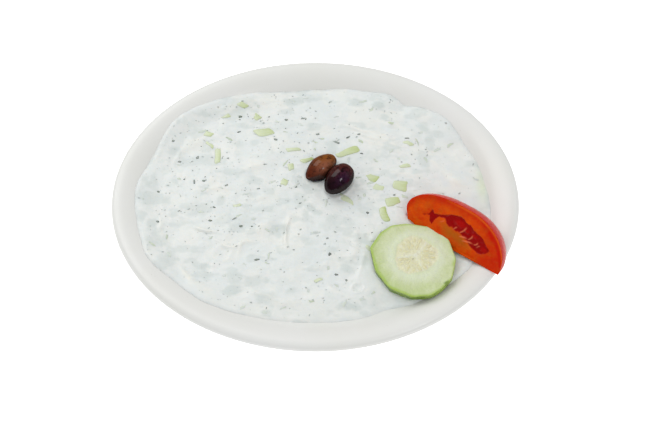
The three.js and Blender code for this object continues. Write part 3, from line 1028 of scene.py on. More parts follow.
def chips(places, half_length, half_width, bearing, thick, seed):
    """Small cut blocks: balls squared off, with wandering sides, turned to their bearing."""
    items = len(half_length)
    chance = np.random.default_rng(seed)
    rise = np.linspace(-0.5, 0.5, BIT_RINGS + 2)[1:-1] * math.pi
    around = circle(BIT_AROUND)

    def squared(value, power):
        return np.sign(value) * np.abs(value) ** power

    ring = squared(np.cos(rise), 0.28)[:, None]
    u = ring * squared(np.cos(around), 0.4)[None]
    v = ring * squared(np.sin(around), 0.4)[None]
    w = np.broadcast_to(squared(np.sin(rise), 0.7)[:, None], u.shape)
    slant = chance.uniform(-0.35, 0.35, (items, 1, 1))
    taper = chance.uniform(-0.3, 0.3, (items, 1, 1))
    x = (u[None] + slant * v[None]) * half_length[:, None, None]
    y = v[None] * (1.0 + taper * u[None]) * half_width[:, None, None]
    z = w[None] * thick[:, None, None] * (1.0 + 0.2 * chance.uniform(-1, 1, (items, 1, 1)))
    x, y = swung(x, y, np.radians(bearing)[:, None, None])
    grid = np.stack([places[0][:, None, None] + x, places[1][:, None, None] + y, z], axis=-1)
    wobble = np.stack([noise(grid, 1.9, seed + k) for k in range(2)], axis=-1)
    grid[..., :2] += 0.5 * wobble
    return grid


def settle(grid, proud):
    """Lays chips on the dip: each point rises with the surface under it."""
    grid = grid.copy()
    centre = grid[..., :2].mean(axis=(1, 2))
    over = dip_height(grid[..., 0], grid[..., 1])
    middle = dip_height(centre[:, 0], centre[:, 1])[:, None, None]
    grid[..., 2] += 0.75 * over + 0.25 * middle + proud[:, None, None]
    ends = np.stack([grid[:, 0].mean(axis=1), grid[:, -1].mean(axis=1)], axis=1)
    return many(grid, ends)


def build_bits():
    """The cut bits that show, each paler inside and greener at one end."""
    place = np.array([bit[0] for bit in BITS]).T
    length, width, bearing, green = np.array([bit[1:] for bit in BITS], float).T
    thick = np.full(len(BITS), 0.7)
    grid = chips(place, length, width, bearing, thick, 81)
    shape = settle(grid, 0.24 * green - 0.45)
    each = BIT_RINGS * BIT_AROUND + 2
    ahead = np.cos(circle(BIT_AROUND))
    ahead = np.concatenate([np.tile(ahead, BIT_RINGS), [0.0, 0.0]])
    share = smooth(-0.6, 1.1, np.tile(ahead, len(BITS))) * 0.55 + 0.45
    share = (share * spread(green, each))[:, None]
    pale, deep = linear(226, 234, 208), linear(186, 203, 112)
    piece("cucumber_bits", shape, bit_material("cut_cucumber", 0.3, 0.3), (), None,
          {"tint": pale * (1.0 - share) + deep * share})


def build_shreds():
    """Grated cucumber that barely breaks the surface, in many small pale shreds."""
    chance = np.random.default_rng(91)
    x, y = inside_dip(FAINT_BITS, 4.0, 92, 0.15)
    length = chance.uniform(0.9, 2.6, len(x))
    width = chance.uniform(0.4, 0.9, len(x))
    bearing = chance.normal(8.0, 38.0, len(x))
    grid = chips((x, y), length, width, bearing, np.full(len(x), 0.5), 93)
    shape = settle(grid, chance.uniform(-0.46, -0.28, len(x)))
    share = chance.uniform(0.0, 0.7, len(x))[:, None] ** 1.5
    tint = linear(222, 230, 222) * (1.0 - share) + linear(190, 206, 162) * share
    piece("cucumber_shreds", shape, bit_material("grated_cucumber", 0.3, 0.15), (),
          None, {"tint": spread(tint, BIT_RINGS * BIT_AROUND + 2)})


# The boldest flakes of herb: place, half length, half width, bearing.
BOLD_FLAKES = [
    ((-46.6, 47.6), 1.3, 0.6, 24), ((12.4, 40.2), 2.3, 0.75, -28), ((19.6, 43.6), 1.5, 0.6, 30),
    ((-33.4, -39.2), 1.7, 0.6, 10), ((-43.2, -17.4), 1.2, 0.7, 0), ((-37.0, -17.6), 0.9, 0.5, 0),
    ((-61.6, -13.6), 1.4, 0.6, -8), ((-59.6, -4.8), 1.2, 0.5, -24), ((-47.4, -12.6), 1.5, 0.45, 30),
    ((-52.8, 10.0), 1.1, 0.6, 30), ((-71.0, 29.6), 1.2, 1.0, 60), ((-24.4, 41.8), 1.4, 0.9, -20),
    ((-18.0, 56.2), 1.3, 0.7, 10), ((-7.6, 57.0), 1.5, 0.5, 10), ((-46.2, 58.0), 1.4, 0.9, 20),
    ((-72.0, 12.4), 0.6, 1.7, 10), ((30.6, -8.6), 0.8, 0.8, 0), ((27.6, 32.0), 1.2, 0.5, -10),
    ((42.6, -13.4), 1.5, 0.6, 0), ((46.4, 3.6), 0.9, 0.7, 0), ((8.4, -35.8), 1.2, 0.9, 50),
    ((-93.0, 5.8), 1.0, 0.7, 0), ((-92.0, -14.6), 1.0, 0.8, 0), ((12.2, -48.4), 1.1, 0.8, -30),
    ((-81.4, 26.6), 1.2, 0.7, 0), ((-86.0, 40.0), 1.1, 0.7, 20), ((18.0, -52.0), 0.8, 0.8, 0),
    ((55.0, 42.6), 1.4, 0.5, -12), ((1.2, 46.0), 1.3, 0.7, 10), ((26.0, 45.6), 1.1, 0.7, 0),
    ((-66.4, 13.0), 1.0, 0.8, 0), ((-11.6, 9.0), 0.8, 0.7, 0), ((-9.0, -2.0), 1.0, 0.5, 20),
    ((-34.0, 8.0), 1.1, 0.4, 12), ((-30.4, 24.0), 1.3, 0.5, 8), ((7.0, -25.6), 0.9, 0.7, 0),
]
FLAKES = 760
FLAKE_SIDES = 7


def build_herbs():
    """Flat closed flakes: a ring with a low point above and below, lying on the surface."""
    chance = np.random.default_rng(101)
    x, y = inside_dip(FLAKES, 2.0, 102, 0.42)
    bold = np.array([flake[0] for flake in BOLD_FLAKES])
    bold_length, bold_width, bold_bearing = np.array([f[1:] for f in BOLD_FLAKES], float).T
    size = np.minimum(0.21 + 0.19 * chance.gamma(1.4, 0.8, len(x)), 0.8)
    length = np.concatenate([bold_length, size])
    width = np.concatenate([bold_width, size * chance.uniform(0.3, 0.7, len(x))])
    bearing = np.radians(np.concatenate([bold_bearing, chance.normal(6.0, 32.0, len(x))]))
    px = np.concatenate([bold[:, 0], x])
    py = np.concatenate([bold[:, 1], y])
    around = circle(FLAKE_SIDES)[None]
    jagged = chance.uniform(0.65, 1.2, (len(px), FLAKE_SIDES))
    u = length[:, None] * np.cos(around) * jagged
    v = width[:, None] * np.sin(around) * jagged
    u, v = swung(u, v, bearing[:, None])
    ring_x, ring_y = px[:, None] + u, py[:, None] + v
    curl = chance.uniform(-0.05, 0.1, ring_x.shape)
    ring_z = dip_height(ring_x, ring_y) + 0.03 + curl
    grid = np.stack([ring_x, ring_y, ring_z], axis=-1)[:, None]
    middle = np.stack([px, py, dip_height(px, py)], axis=-1)[:, None]
    ends = np.concatenate([middle - [0, 0, 0.1], middle + [0, 0, 0.17]], axis=1)
    shape = many(grid, ends)
    sunk = 1.0 - 0.66 * chance.uniform(0.0, 1.0, len(px)) ** 3.6
    sunk[:len(bold)] = chance.uniform(0.3, 0.72, len(bold))
    hue = chance.uniform(0.0, 1.0, len(px))[:, None]
    dark = linear(42, 52, 46) * (1.0 - hue) + linear(84, 104, 74) * hue
    tint = dark * (1.0 - sunk[:, None]) + linear(204, 212, 208) * sunk[:, None]
    piece("herb_flakes", shape, herb_material(), (), None,
          {"tint": spread(tint, FLAKE_SIDES + 2)})


# ------------------------------------------------------------------ the cucumber slice

SLICE_BEVEL = 0.55
CORE_CENTRE = (1.6, 2.4)
CORE_RADIUS = 12.0
CORE_ARMS = [48.0, 184.0, 290.0]  # bearings of the pale walls between the three seed chambers
CHAMBERS = [116.0, 237.0, 349.0]
SEEDS_EACH = 9
SEED_HALF_LENGTH = 2.15
SEED_HALF_WIDTH = 0.95
PEEL_LEFT = (19.3, -16.6)  # a scrap of peel that the knife missed


def seed_places():
    """Seeds in two rows across each chamber, pointing at the core: place and bearing."""
    chance = np.random.default_rng(121)
    fan = np.linspace(-44.0, 44.0, SEEDS_EACH)
    row = np.where(np.arange(SEEDS_EACH) % 2 == 0, 9.3, 6.1)
    bearing = np.concatenate([chamber + fan for chamber in CHAMBERS])
    radius = np.tile(row, len(CHAMBERS)) + chance.uniform(-0.7, 0.7, len(bearing))
    bearing = bearing + chance.uniform(-5.0, 5.0, len(bearing))
    x = CORE_CENTRE[0] + radius * np.cos(np.radians(bearing))
    y = CORE_CENTRE[1] + radius * np.sin(np.radians(bearing))
    return x, y, bearing + chance.uniform(-16.0, 16.0, len(bearing))


def core_masks(x, y):
    """Shares of seed chamber, pale wall and seed hollow at places on the slice's face."""
    dx, dy = x - CORE_CENTRE[0], y - CORE_CENTRE[1]
    out = np.hypot(dx, dy)
    bearing = np.degrees(np.arctan2(dy, dx))
    lobes = CORE_RADIUS + 0.9 * np.cos(np.radians(3.0 * (bearing - CHAMBERS[0])))
    lobes = lobes + 0.9 * noise(plan(x, y), 3.0, 123)
    chamber = smooth(0.8, -1.0, out - lobes)
    wall = np.zeros_like(out)
    for arm in CORE_ARMS:
        gap = bearing_gap(bearing + 7.0 * noise(plan(x, y), 3.4, 125), arm)
        across = out * np.sin(np.radians(np.clip(gap, -90.0, 90.0)))
        ahead = smooth(-0.2, 0.6, np.cos(np.radians(gap)))
        wall = np.maximum(wall, 0.7 * hump(across, 0.8) * ahead * smooth(13.5, 9.0, out))
    wall = np.maximum(wall, smooth(2.0, 0.8, out))
    hollow = np.zeros_like(out)
    for sx, sy, turned in zip(*seed_places()):
        ahead, side = swung(x - sx, y - sy, -math.radians(turned))
        ring = np.hypot(ahead / (SEED_HALF_LENGTH + 0.35), side / (SEED_HALF_WIDTH + 0.3))
        hollow = np.maximum(hollow, smooth(1.15, 0.75, ring))
    return chamber, wall, hollow


def slice_material():
    """Cut cucumber: pale damp flesh, a green rind side, scraps of peel and a jelly-like core."""
    material, shading, shader, place = start_material(
        "cucumber_flesh", Subsurface_Weight=0.3, Subsurface_Radius=(1.0, 1.0, 0.5),
        Subsurface_Scale=2.0 * MM, Coat_Weight=0.15, Coat_Roughness=0.25,
    )
    flesh = shading.patches(place, 0.16, 0.5, 0.14, colour(206, 217, 167), colour(215, 223, 184))
    streaks = shading.noise(shading.layer_colour("spoke"), 1.0, 3.0, 0.6)
    streaked = shading.mix(
        shading.span(streaks, 0.5, 0.68, 0.0, 0.4), flesh, colour(190, 206, 140)
    )
    halo = shading.mix(shading.layer("halo"), streaked, colour(222, 230, 200))
    rind = shading.mix(shading.layer("rind"), halo, colour(168, 196, 84))
    core = shading.mix(shading.layer("chamber"), rind, colour(230, 229, 196))
    wall = shading.mix(shading.layer("wall"), core, colour(233, 235, 212))
    hollow = shading.mix(shading.layer("hollow"), wall, colour(226, 225, 186))
    patch = shading.patches(place, 0.5, 0.5, 0.15, colour(122, 150, 40), colour(92, 122, 30))
    peel = shading.mix(shading.layer("peel"), hollow, patch)
    grain = shading.grain(place, (0.7, 2.6), 0.35, (0.24, 0.42))
    feeds = {"Base Color": peel, "Roughness": grain["Roughness"]}
    finish_material(shading, shader, feeds, grain["Height"], 0.16)
    return material


def build_slice(settings):
    """Rings from the middle of the face over its rounded edge and side to the underside."""
    angle = circle(settings.around)[None]
    edge = slice_radius(angle)
    face = np.linspace(0.0, 1.0, settings.rings + 1)[1:, None]
    corner = np.linspace(90.0, 0.0, 7)[1:, None]
    inset = SLICE_BEVEL * (1.0 - np.cos(np.radians(corner)))
    drop = SLICE_BEVEL * (1.0 - np.sin(np.radians(corner)))
    side = np.linspace(SLICE_THICKNESS - SLICE_BEVEL, SLICE_BEVEL, 12)[1:, None]
    out = np.concatenate([
        face * (edge - SLICE_BEVEL), edge - inset, 0.0 * side + edge, edge - inset[::-1][1:],
        np.linspace(1.0, 0.04, 16)[1:, None] * (edge - SLICE_BEVEL),
    ])
    height = np.concatenate([
        0.0 * face + SLICE_THICKNESS, SLICE_THICKNESS - drop, side, drop[::-1][1:],
        np.zeros((15, 1)),
    ]) + 0.0 * edge
    x, y = out * np.cos(angle), out * np.sin(angle)
    top = smooth(SLICE_THICKNESS - 0.9, SLICE_THICKNESS - 0.1, height)
    chamber, wall, hollow = core_masks(x, y)
    place = np.stack([x, y, height], axis=-1)
    spoke = np.stack([0.55 * out, np.degrees(angle) * 0.55 + 0.0 * out, height * 0.8], axis=-1)
    from_edge = edge - out
    relief = 0.16 * rough(place, 5.0, 2, 127) + 0.05 * noise(spoke, 1.0, 129)
    relief = relief + 0.16 * smooth(4.0, 0.6, from_edge) - 0.16 * chamber
    relief = relief + 0.1 * wall * smooth(0.3, 1.0, chamber) - 0.04 * hollow
    relief = relief + chamber * 0.12 * noise(place, 1.1, 131)
    grid = place.copy()
    grid[..., 2] += top * (relief - 0.12)
    flat_side = smooth(0.0, 0.6, SLICE_THICKNESS - height) * smooth(1.2, 0.0, from_edge)
    grid[..., :2] *= (1.0 - 0.007 * flat_side * (1.0 + noise(place, 2.4, 133)))[..., None]
    bearing = np.degrees(angle)
    left = 0.5 + 0.5 * np.cos(np.radians(bearing - 196.0))
    band = 1.1 + 2.6 * left + 0.5 * noise(place, 5.0, 135)
    rind = smooth(band, 0.2, from_edge) * (0.55 + 0.45 * left) + 0.75 * flat_side
    greener = 0.5 + 0.5 * np.cos(np.radians(bearing - 222.0))
    rind = np.maximum(rind, 0.4 * greener**2 * smooth(9.0, 0.5, from_edge))
    spots = hump(bearing_gap(bearing, 350.0), 13.0) * smooth(2.8, 0.5, from_edge)
    rind = np.maximum(rind, spots * (0.45 + 0.5 * noise(place, 1.6, 138)))
    low = smooth(0.4, 1.8, SLICE_THICKNESS - height)
    peel = flat_side * low * smooth(0.25, 0.8, left + 0.25 * noise(place, 6.0, 137))
    front = hump(bearing_gap(bearing, 262.0), 40.0)
    peel = np.maximum(peel, flat_side * low * front)
    scrap = np.hypot(x - PEEL_LEFT[0], y - PEEL_LEFT[1]) + 0.8 * noise(place, 1.6, 139)
    peel = np.maximum(peel, 0.75 * smooth(2.6, 0.9, scrap))
    halo = hump(np.hypot(x - CORE_CENTRE[0], y - CORE_CENTRE[1]) - 14.2, 3.4) * top
    values = shares({
        "rind": rind, "peel": peel, "chamber": chamber * top, "wall": wall * chamber * top,
        "hollow": hollow * chamber * top, "halo": halo,
    })
    shape = rings(SLICE_POSE.to_dish(grid))
    spokes = with_ends(spoke)
    spokes[-2:] = spokes[0]
    piece("cucumber_round", shape, slice_material(), ["cucumber_slice"], values,
          {"spoke": spokes})


def build_seeds():
    """Flat seeds, pointed at the core end, half sunk in the slice's chambers."""
    x, y, bearing = seed_places()
    rise = np.linspace(-0.5, 0.5, 9)[1:-1, None] * math.pi
    around = circle(20)[None]
    ahead = np.cos(rise) * np.cos(around)
    side = np.cos(rise) * np.sin(around) * (1.0 + 0.42 * ahead)
    chance = np.random.default_rng(141)
    size = chance.uniform(0.75, 1.12, (len(x), 1, 1))
    turned = np.radians(bearing)[:, None, None]
    u = ahead[None] * SEED_HALF_LENGTH * size
    v = side[None] * SEED_HALF_WIDTH * size
    u, v = swung(u, v, turned)
    px, py = x[:, None, None] + u, y[:, None, None] + v
    lift = chance.uniform(-0.52, -0.32, (len(x), 1, 1))
    pz = SLICE_THICKNESS - 0.1 + lift + 0.42 * np.sin(rise)[None] + 0.0 * u
    grid = SLICE_POSE.to_dish(np.stack([px, py, pz], axis=-1))
    ends = np.stack([grid[:, 0].mean(axis=1), grid[:, -1].mean(axis=1)], axis=1)
    each = grid.shape[1] * grid.shape[2] + 2
    rim = np.concatenate([np.hypot(ahead, side).ravel(), [0.0, 0.0]])
    share = smooth(0.45, 1.0, np.tile(rim, len(x)))[:, None]
    tint = linear(228, 222, 172) * (1.0 - share) + linear(228, 226, 186) * share
    piece("cucumber_seeds", many(grid, ends), bit_material("cucumber_seed", 0.2, 0.25),
          (), None, {"tint": tint})


# ------------------------------------------------------------------ the tomato wedge

GEL_DEPTH = 0.5
CORE_SET_BACK = 4.2  # how far the core edge is trimmed at the stem end
SKIN_RADIUS_END = 2.76  # the skin ends on rings of this radius, each closed by a fan
# The seed chamber on a cut face: knots of its outer and inner side, along the core and out.
GEL_OUTER = [(-24.5, 12.0), (-21.2, 13.6), (-19.7, 16.9), (-18.2, 15.2), (-16.0, 15.7),
             (-12.5, 16.8), (-8.3, 19.1), (-1.7, 21.2), (4.5, 19.2), (13.1, 15.8), (20.6, 10.2)]
GEL_INNER = [(-24.5, 11.4), (-20.5, 12.6), (-18.8, 9.2), (-17.4, 8.4), (-16.4, 12.4),
             (-14.6, 14.6), (-11.0, 15.6), (-8.8, 13.2), (-6.0, 12.0), (0.6, 11.9), (5.4, 9.8),
             (9.9, 6.8), (14.4, 5.6), (18.2, 6.6), (20.6, 10.2)]
# Pale threads across the chamber: start, end, bow, width, height, left width.
THREADS = [
    ((-4.0, 11.4), (-1.8, 14.4), 0.3, 0.3, 0.9, 0.9), ((-0.4, 11.4), (3.4, 17.4), -0.8, 0.32, 1.0, 1.0),
    ((0.2, 9.6), (6.2, 10.6), 0.5, 0.34, 1.0, 1.0), ((5.6, 10.0), (8.4, 14.6), -0.7, 0.3, 1.0, 1.0),
    ((2.4, 8.0), (10.4, 9.4), 0.5, 0.34, 1.0, 1.0), ((9.8, 9.0), (12.8, 12.2), -0.7, 0.3, 1.0, 1.0),
    ((-13.6, 12.2), (-10.4, 14.8), -0.4, 0.3, 0.6, 0.8), ((12.6, 8.0), (14.6, 10.6), 0.4, 0.26, 0.8, 0.8),
]
# Paler lobes of jelly in the chamber: place, length and width.
JELLIES = [((17.2, 9.0), 2.6, 1.8), ((9.4, 14.0), 2.2, 1.4), ((4.4, 14.6), 1.9, 1.3),
           ((-1.0, 16.8), 4.4, 2.4)]


LOWER_CUT, SKIN, UPPER_CUT = range(3)


def gel_share(x, out):
    """1 inside the seed chamber of a cut face, falling off across its torn edge."""
    torn = 0.5 * noise(plan(x, out), 2.6, 151) + 0.22 * noise(plan(x, out), 1.0, 153)
    inside = np.minimum(through(x, GEL_OUTER) - out, out - through(x, GEL_INNER)) + torn
    ends = smooth(-25.5, -23.0, x) * smooth(21.4, 19.6, x)
    return smooth(-0.35, 0.4, inside) * ends


LOOP_POINTS = (40, 64, 104)  # on the lower cut, round the skin and on the upper cut


def wedge_loop(profile, count):
    """For each ring of skin, a loop: out along the lower cut, round the skin, and back."""
    skin_x, radius = profile.T
    length = np.concatenate([[0.0], np.cumsum(np.linalg.norm(np.diff(profile, axis=0), axis=1))])
    stem = skin_x[0]
    furthest = np.maximum.accumulate(np.maximum(skin_x, stem))
    creep = 0.1 * length
    grown = (furthest - stem) * (skin_x[-1] - stem - creep[-1]) / (furthest[-1] - stem)
    core_x = stem + creep + grown

    def eased(points):
        """Shares of a side, four times closer at its ends than in its middle."""
        even = np.linspace(0.0, 1.0, points, endpoint=False)
        return (even - 0.6 * np.sin(2 * math.pi * even) / (2 * math.pi))[None]

    lower, skin, upper = eased(count[0]), eased(count[1]), 1.0 - eased(count[2])
    share = np.concatenate([lower, 0.0 * skin + 1.0, upper], axis=1)
    angle = np.concatenate([0.0 * lower, skin * OPENING, 0.0 * upper + OPENING], axis=1)
    set_back = (CORE_SET_BACK * smooth(-19.0, -32.0, core_x))[:, None]
    out = set_back + share * (reach(radius[:, None], angle) - set_back)
    x = core_x[:, None] + (skin_x - core_x)[:, None] * share
    kind = np.concatenate([0 * lower + LOWER_CUT, 0 * skin + SKIN, 0 * upper + UPPER_CUT], axis=1)
    kind = kind + 0.0 * x
    return x, out, angle + 0.0 * x, kind


def wedge_material():
    """Tomato: orange-red flesh, deeper near the skin, dark wet jelly and a shiny red skin."""
    material, shading, shader, place = start_material(
        "tomato_flesh", Subsurface_Weight=0.12, Specular_IOR_Level=0.08,
        Subsurface_Radius=(1.0, 0.3, 0.1), Subsurface_Scale=1.5 * MM, Coat_Roughness=0.07,
    )
    flesh = shading.patches(place, 0.12, 0.52, 0.16, colour(226, 84, 2), colour(214, 56, 0))
    streaks = shading.fibres(place, 0.8)
    grainy = shading.mix(
        shading.span(streaks, 0.48, 0.7, 0.0, 0.35), flesh, colour(226, 104, 16)
    )
    deep = shading.mix(shading.layer("near_skin"), grainy, colour(200, 24, 0))
    placenta = shading.mix(shading.layer("placenta"), deep, colour(184, 96, 16))
    gel = shading.mix(shading.layer("gel"), placenta, colour(158, 0, 0))
    jelly = shading.mix(shading.layer("jelly"), gel, colour(176, 6, 0))
    threads = shading.mix(shading.layer("thread"), jelly, colour(238, 124, 84))
    peel = shading.patches(place, 0.09, 0.5, 0.2, colour(208, 36, 10), colour(190, 16, 2))
    skin = shading.layer("skin")
    whole = shading.mix(skin, threads, peel)
    line = shading.mix(shading.layer("skin_line"), whole, colour(226, 96, 22))
    grain = shading.grain(place, (0.5, 2.0), 0.35, (0.28, 0.42))
    wet = shading.math("MULTIPLY", grain["Roughness"], shading.span(skin, 0.0, 1.0, 1.0, 0.5))
    damp = shading.span(shading.layer("gel"), 0.0, 1.0, 0.03, 0.24)
    coat = shading.math("MAXIMUM", damp, shading.math("MULTIPLY", skin, 0.08))
    bumps = shading.math("MULTIPLY", grain["Height"], shading.span(skin, 0.0, 1.0, 1.0, 0.12))
    feeds = {"Base Color": line, "Roughness": wet, "Coat Weight": coat}
    finish_material(shading, shader, feeds, bumps, 0.25)
    return material


def build_wedge(settings):
    """Loops from the stem end to the tip, with the cut faces pressed in at the seed chambers."""
    whole = fruit_profile(600)
    kept = whole[whole[:, 1] > SKIN_RADIUS_END]
    profile = evenly(kept, lambda line: np.full(len(line), settings.spacing))
    x, out, angle, kind = wedge_loop(profile, LOOP_POINTS)
    radians = np.radians(angle)
    grid = np.stack([x, out * np.cos(radians), out * np.sin(radians)], axis=-1)
    for _ in range(4):
        grid = (np.roll(grid, 1, axis=1) + 2.0 * grid + np.roll(grid, -1, axis=1)) / 4.0
    cut = np.where(kind == SKIN, 0.0, 1.0)
    skin = np.where(kind == SKIN, 1.0, 0.0)
    far = reach(np.broadcast_to(profile[:, 1:], x.shape), np.where(kind == UPPER_CUT, OPENING, 0.0))
    from_skin = far - out
    inner = cut * smooth(0.2, 1.6, from_skin) * smooth(0.2, 1.6, out)
    gel = gel_share(x, out) * inner
    thread = sum(np.maximum(stroke_height(x, out, line), 0.0) for line in THREADS)
    thread = np.clip(thread, 0.0, 1.0) * inner
    jelly = np.zeros_like(x)
    for (at_x, at_out), length, width in JELLIES:
        ring = np.hypot((x - at_x) / length, (out - at_out) / width)
        jelly = np.maximum(jelly, smooth(1.1, 0.4, ring))
    jelly = jelly * gel
    place = plan(x, out)
    relief = 0.3 * rough(place, 9.0, 2, 155) + 0.1 * noise(place * [0.5, 1.0, 1.0], 1.5, 157)
    relief = relief * inner - GEL_DEPTH * gel + 0.3 * jelly + 0.4 * thread * (0.4 + gel)
    relief = relief + 0.06 * gel * noise(place, 1.6, 159)
    facing = np.where((kind == UPPER_CUT)[..., None],
                      [0.0, -math.sin(math.radians(OPENING)), math.cos(math.radians(OPENING))],
                      [0.0, 0.0, -1.0])
    grid = grid + facing * (relief * cut)[..., None]
    outward = np.stack([0 * x, np.cos(radians), np.sin(radians)], axis=-1)
    lumps = 0.25 * rough(grid, 16.0, 2, 161) - 0.25
    grid = grid + outward * (lumps * skin * hump((angle / OPENING - 0.5) * 2.0, 0.8))[..., None]
    near_skin = smooth(6.5, 0.8, from_skin) * 0.8 + 0.7 * smooth(8.0, 20.0, x)
    placenta = hump(out - 8.6 + 0.18 * x, 3.4) * hump(x + 2.0, 9.5)
    placenta = np.clip(placenta + 0.25 * noise(place, 3.0, 163), 0.0, 1.0) * (1.0 - gel)
    line = hump(from_skin - 0.9, 0.7) * cut * smooth(-18.0, 0.0, x)
    values = shares({
        "skin": skin, "gel": gel, "jelly": jelly, "thread": thread, "near_skin": near_skin,
        "placenta": placenta, "skin_line": line * 0.8,
    })
    shape = rings(WEDGE_POSE.to_dish(grid))
    piece("tomato_piece", shape, wedge_material(), ["tomato_wedge"], values)


# ------------------------------------------------------------------ the olives

# Each olive: its colours (main, towards one end, painted shade underneath and a painted sheen),
# the seed of its wrinkles, and how much its first end narrows to a point.
OLIVE_LOOKS = {
    "olive_1": {
        "piece": "brown_olive", "slot": "olive_brown", "main": (94, 38, 17),
        "end": (130, 74, 20), "under": (36, 4, 3), "painted_sheen": (158, 98, 76), "seed": 171, "point": 0.3,
    },
    "olive_2": {
        "piece": "dark_olive", "slot": "olive_dark", "main": (30, 6, 14),
        "end": (78, 32, 26), "under": (30, 10, 8), "painted_sheen": (62, 28, 58), "seed": 181, "point": 0.0,
    },
}


def olive_material(name, look):
    """A cured olive: colour that drifts along it, painted shade underneath, a painted sheen and a wet
    shine.
    """
    material, shading, shader, place = start_material(
        name + "_skin", Coat_Roughness=0.07, Specular_IOR_Level=0.04, Subsurface_Weight=0.05,
        Subsurface_Scale=1.0 * MM,
    )
    tips = shading.mix(shading.layer("end"), colour(*look["main"]), colour(*look["end"]))
    # Painted shade: the underside is darkened towards the under colour.
    under = shading.mix(shading.layer("under"), tips, colour(*look["under"]))
    # Painted sheen: a lighter patch that stands in for a reflection of the lights.
    painted_sheen_mix = shading.mix(shading.layer("painted_sheen"), under, colour(*look["painted_sheen"]))
    dark = tuple(int(channel * 0.55) for channel in look["main"])
    mottle = shading.patches(place, 0.45, 0.6, 0.12, painted_sheen_mix, colour(*dark))
    grain = shading.grain(place, (0.6, 2.4), 0.3, (0.25, 0.42))
    turned = shading.add("ShaderNodeLayerWeight").outputs["Facing"]
    wet = shading.span(turned, 0.2, 0.6, 0.6, 0.04)
    feeds = {"Base Color": mottle, "Roughness": grain["Roughness"], "Coat Weight": wet}
    finish_material(shading, shader, feeds, grain["Height"], 0.18)
    return material


def build_olive(name, settings):
    """The stretched ball, wrinkled lengthwise, with a small scar where the stalk was."""
    olive, look, pose = OLIVES[name], OLIVE_LOOKS[name], OLIVE_POSES[name]
    along = -np.cos(np.linspace(0.0, math.pi, settings.rings + 2)[1:-1])[:, None]
    around = circle(settings.around)[None]
    grid = olive_form(olive, along, around)
    ball = np.stack(np.broadcast_arrays(
        along, np.cos(around) + 0.0 * along, np.sin(around) + 0.0 * along
    ), axis=-1)
    drawn = ball * [0.7, 2.2, 2.2] + 0.25 * rough(ball, 0.9, 2, look["seed"])[..., None]
    wrinkle = smooth(0.25, 0.0, np.abs(noise(drawn, 1.0, look["seed"] + 3)))
    patch = smooth(-0.1, 0.7, noise(ball, 0.8, look["seed"] + 5))
    dip = -0.16 * wrinkle * (0.35 + 0.65 * patch) + 0.14 * noise(ball, 0.6, look["seed"] + 7)
    dip = dip - 0.5 * hump(along - 1.0, 0.05) - 0.16
    ring = np.sqrt(np.maximum(1.0 - along**2, 0.0))
    narrow = 1.0 - look["point"] * smooth(0.3, -1.0, along) ** 1.5
    grid[..., 1:] *= narrow[..., None]
    grid[..., 1] += dip * np.cos(around) * (0.3 + 0.7 * ring)
    grid[..., 2] += dip * np.sin(around) * (0.3 + 0.7 * ring)
    grid[..., 0] += dip * along * 0.6
    lit = np.sin(around) + 0.0 * along
    end = smooth(-0.5, 0.5, along + 0.3 * np.cos(around) + 0.4 * noise(ball, 0.7, look["seed"]))
    # Painted shade: darker where the surface faces down, where lit is low.
    under = smooth(0.88, 0.25, lit + 0.25 * noise(ball, 0.9, look["seed"] + 9))
    # Painted sheen: a lighter patch on the upper side, mid-length, standing in for a reflection.
    painted_sheen = hump(along - 0.05, 0.5) * hump(np.cos(around) + 0.5, 0.5) * smooth(-0.1, 0.6, lit)
    values = shares({"end": end, "under": under, "painted_sheen": painted_sheen * 0.7})
    shape = rings(pose.to_dish(grid))
    piece(look["piece"], shape, olive_material(name, look), [name], values)


# ------------------------------------------------------------------ the stage

FLOOR_BOUNCE = 150  # grey level of the floor's glow for rays that don't come from the camera


def floor_material(glow):
    """White paper that glows, and glows less for the dish above it than for the viewer."""
    material, shading, shader, place = start_material(
        "pale_floor", Roughness=0.9, Specular_IOR_Level=0.1, Emission_Strength=glow,
    )
    fibre = shading.patches(place, 0.01, 0.5, 0.2, colour(246, 246, 246), colour(244, 244, 244))
    path = shading.add("ShaderNodeLightPath")
    glowing = shading.mix(
        path.outputs["Is Camera Ray"], colour(FLOOR_BOUNCE, FLOOR_BOUNCE, FLOOR_BOUNCE),
        colour(255, 255, 255),
    )
    finish_material(shading, shader, {"Base Color": fibre, "Emission Color": glowing})
    return material


def build_floor(settings):
    """A flat square under the dish."""
    half = settings.floor_size / 2
    mesh = bpy.data.meshes.new("floor")
    corners = [(-half, -half, 0.0), (half, -half, 0.0), (half, half, 0.0), (-half, half, 0.0)]
    mesh.from_pydata(corners, [], [(0, 1, 2, 3)])
    mesh.materials.append(floor_material(settings.floor_glow))
    floor = bpy.data.objects.new("floor", mesh)
    bpy.context.scene.collection.objects.link(floor)


# Where each softbox stands, in metres, and its side.
KEY_BOX = ((-0.55, 0.62, 0.95), 0.9)
SIDE_BOX = ((0.95, 0.1, 0.55), 0.5)
GLINT_BOX = ((0.36, -0.4, 0.74), 0.2)


def softbox(name, box, aim, power, tint):
    """A square area light that faces a point."""
    light = bpy.data.lights.new(name, "AREA")
    place, light.size = box
    light.energy = power
    light.color = tint
    lamp = bpy.data.objects.new(name, light)
    lamp.location = place
    lamp.rotation_euler = (Vector(aim) - Vector(place)).to_track_quat("-Z", "Y").to_euler()
    bpy.context.scene.collection.objects.link(lamp)


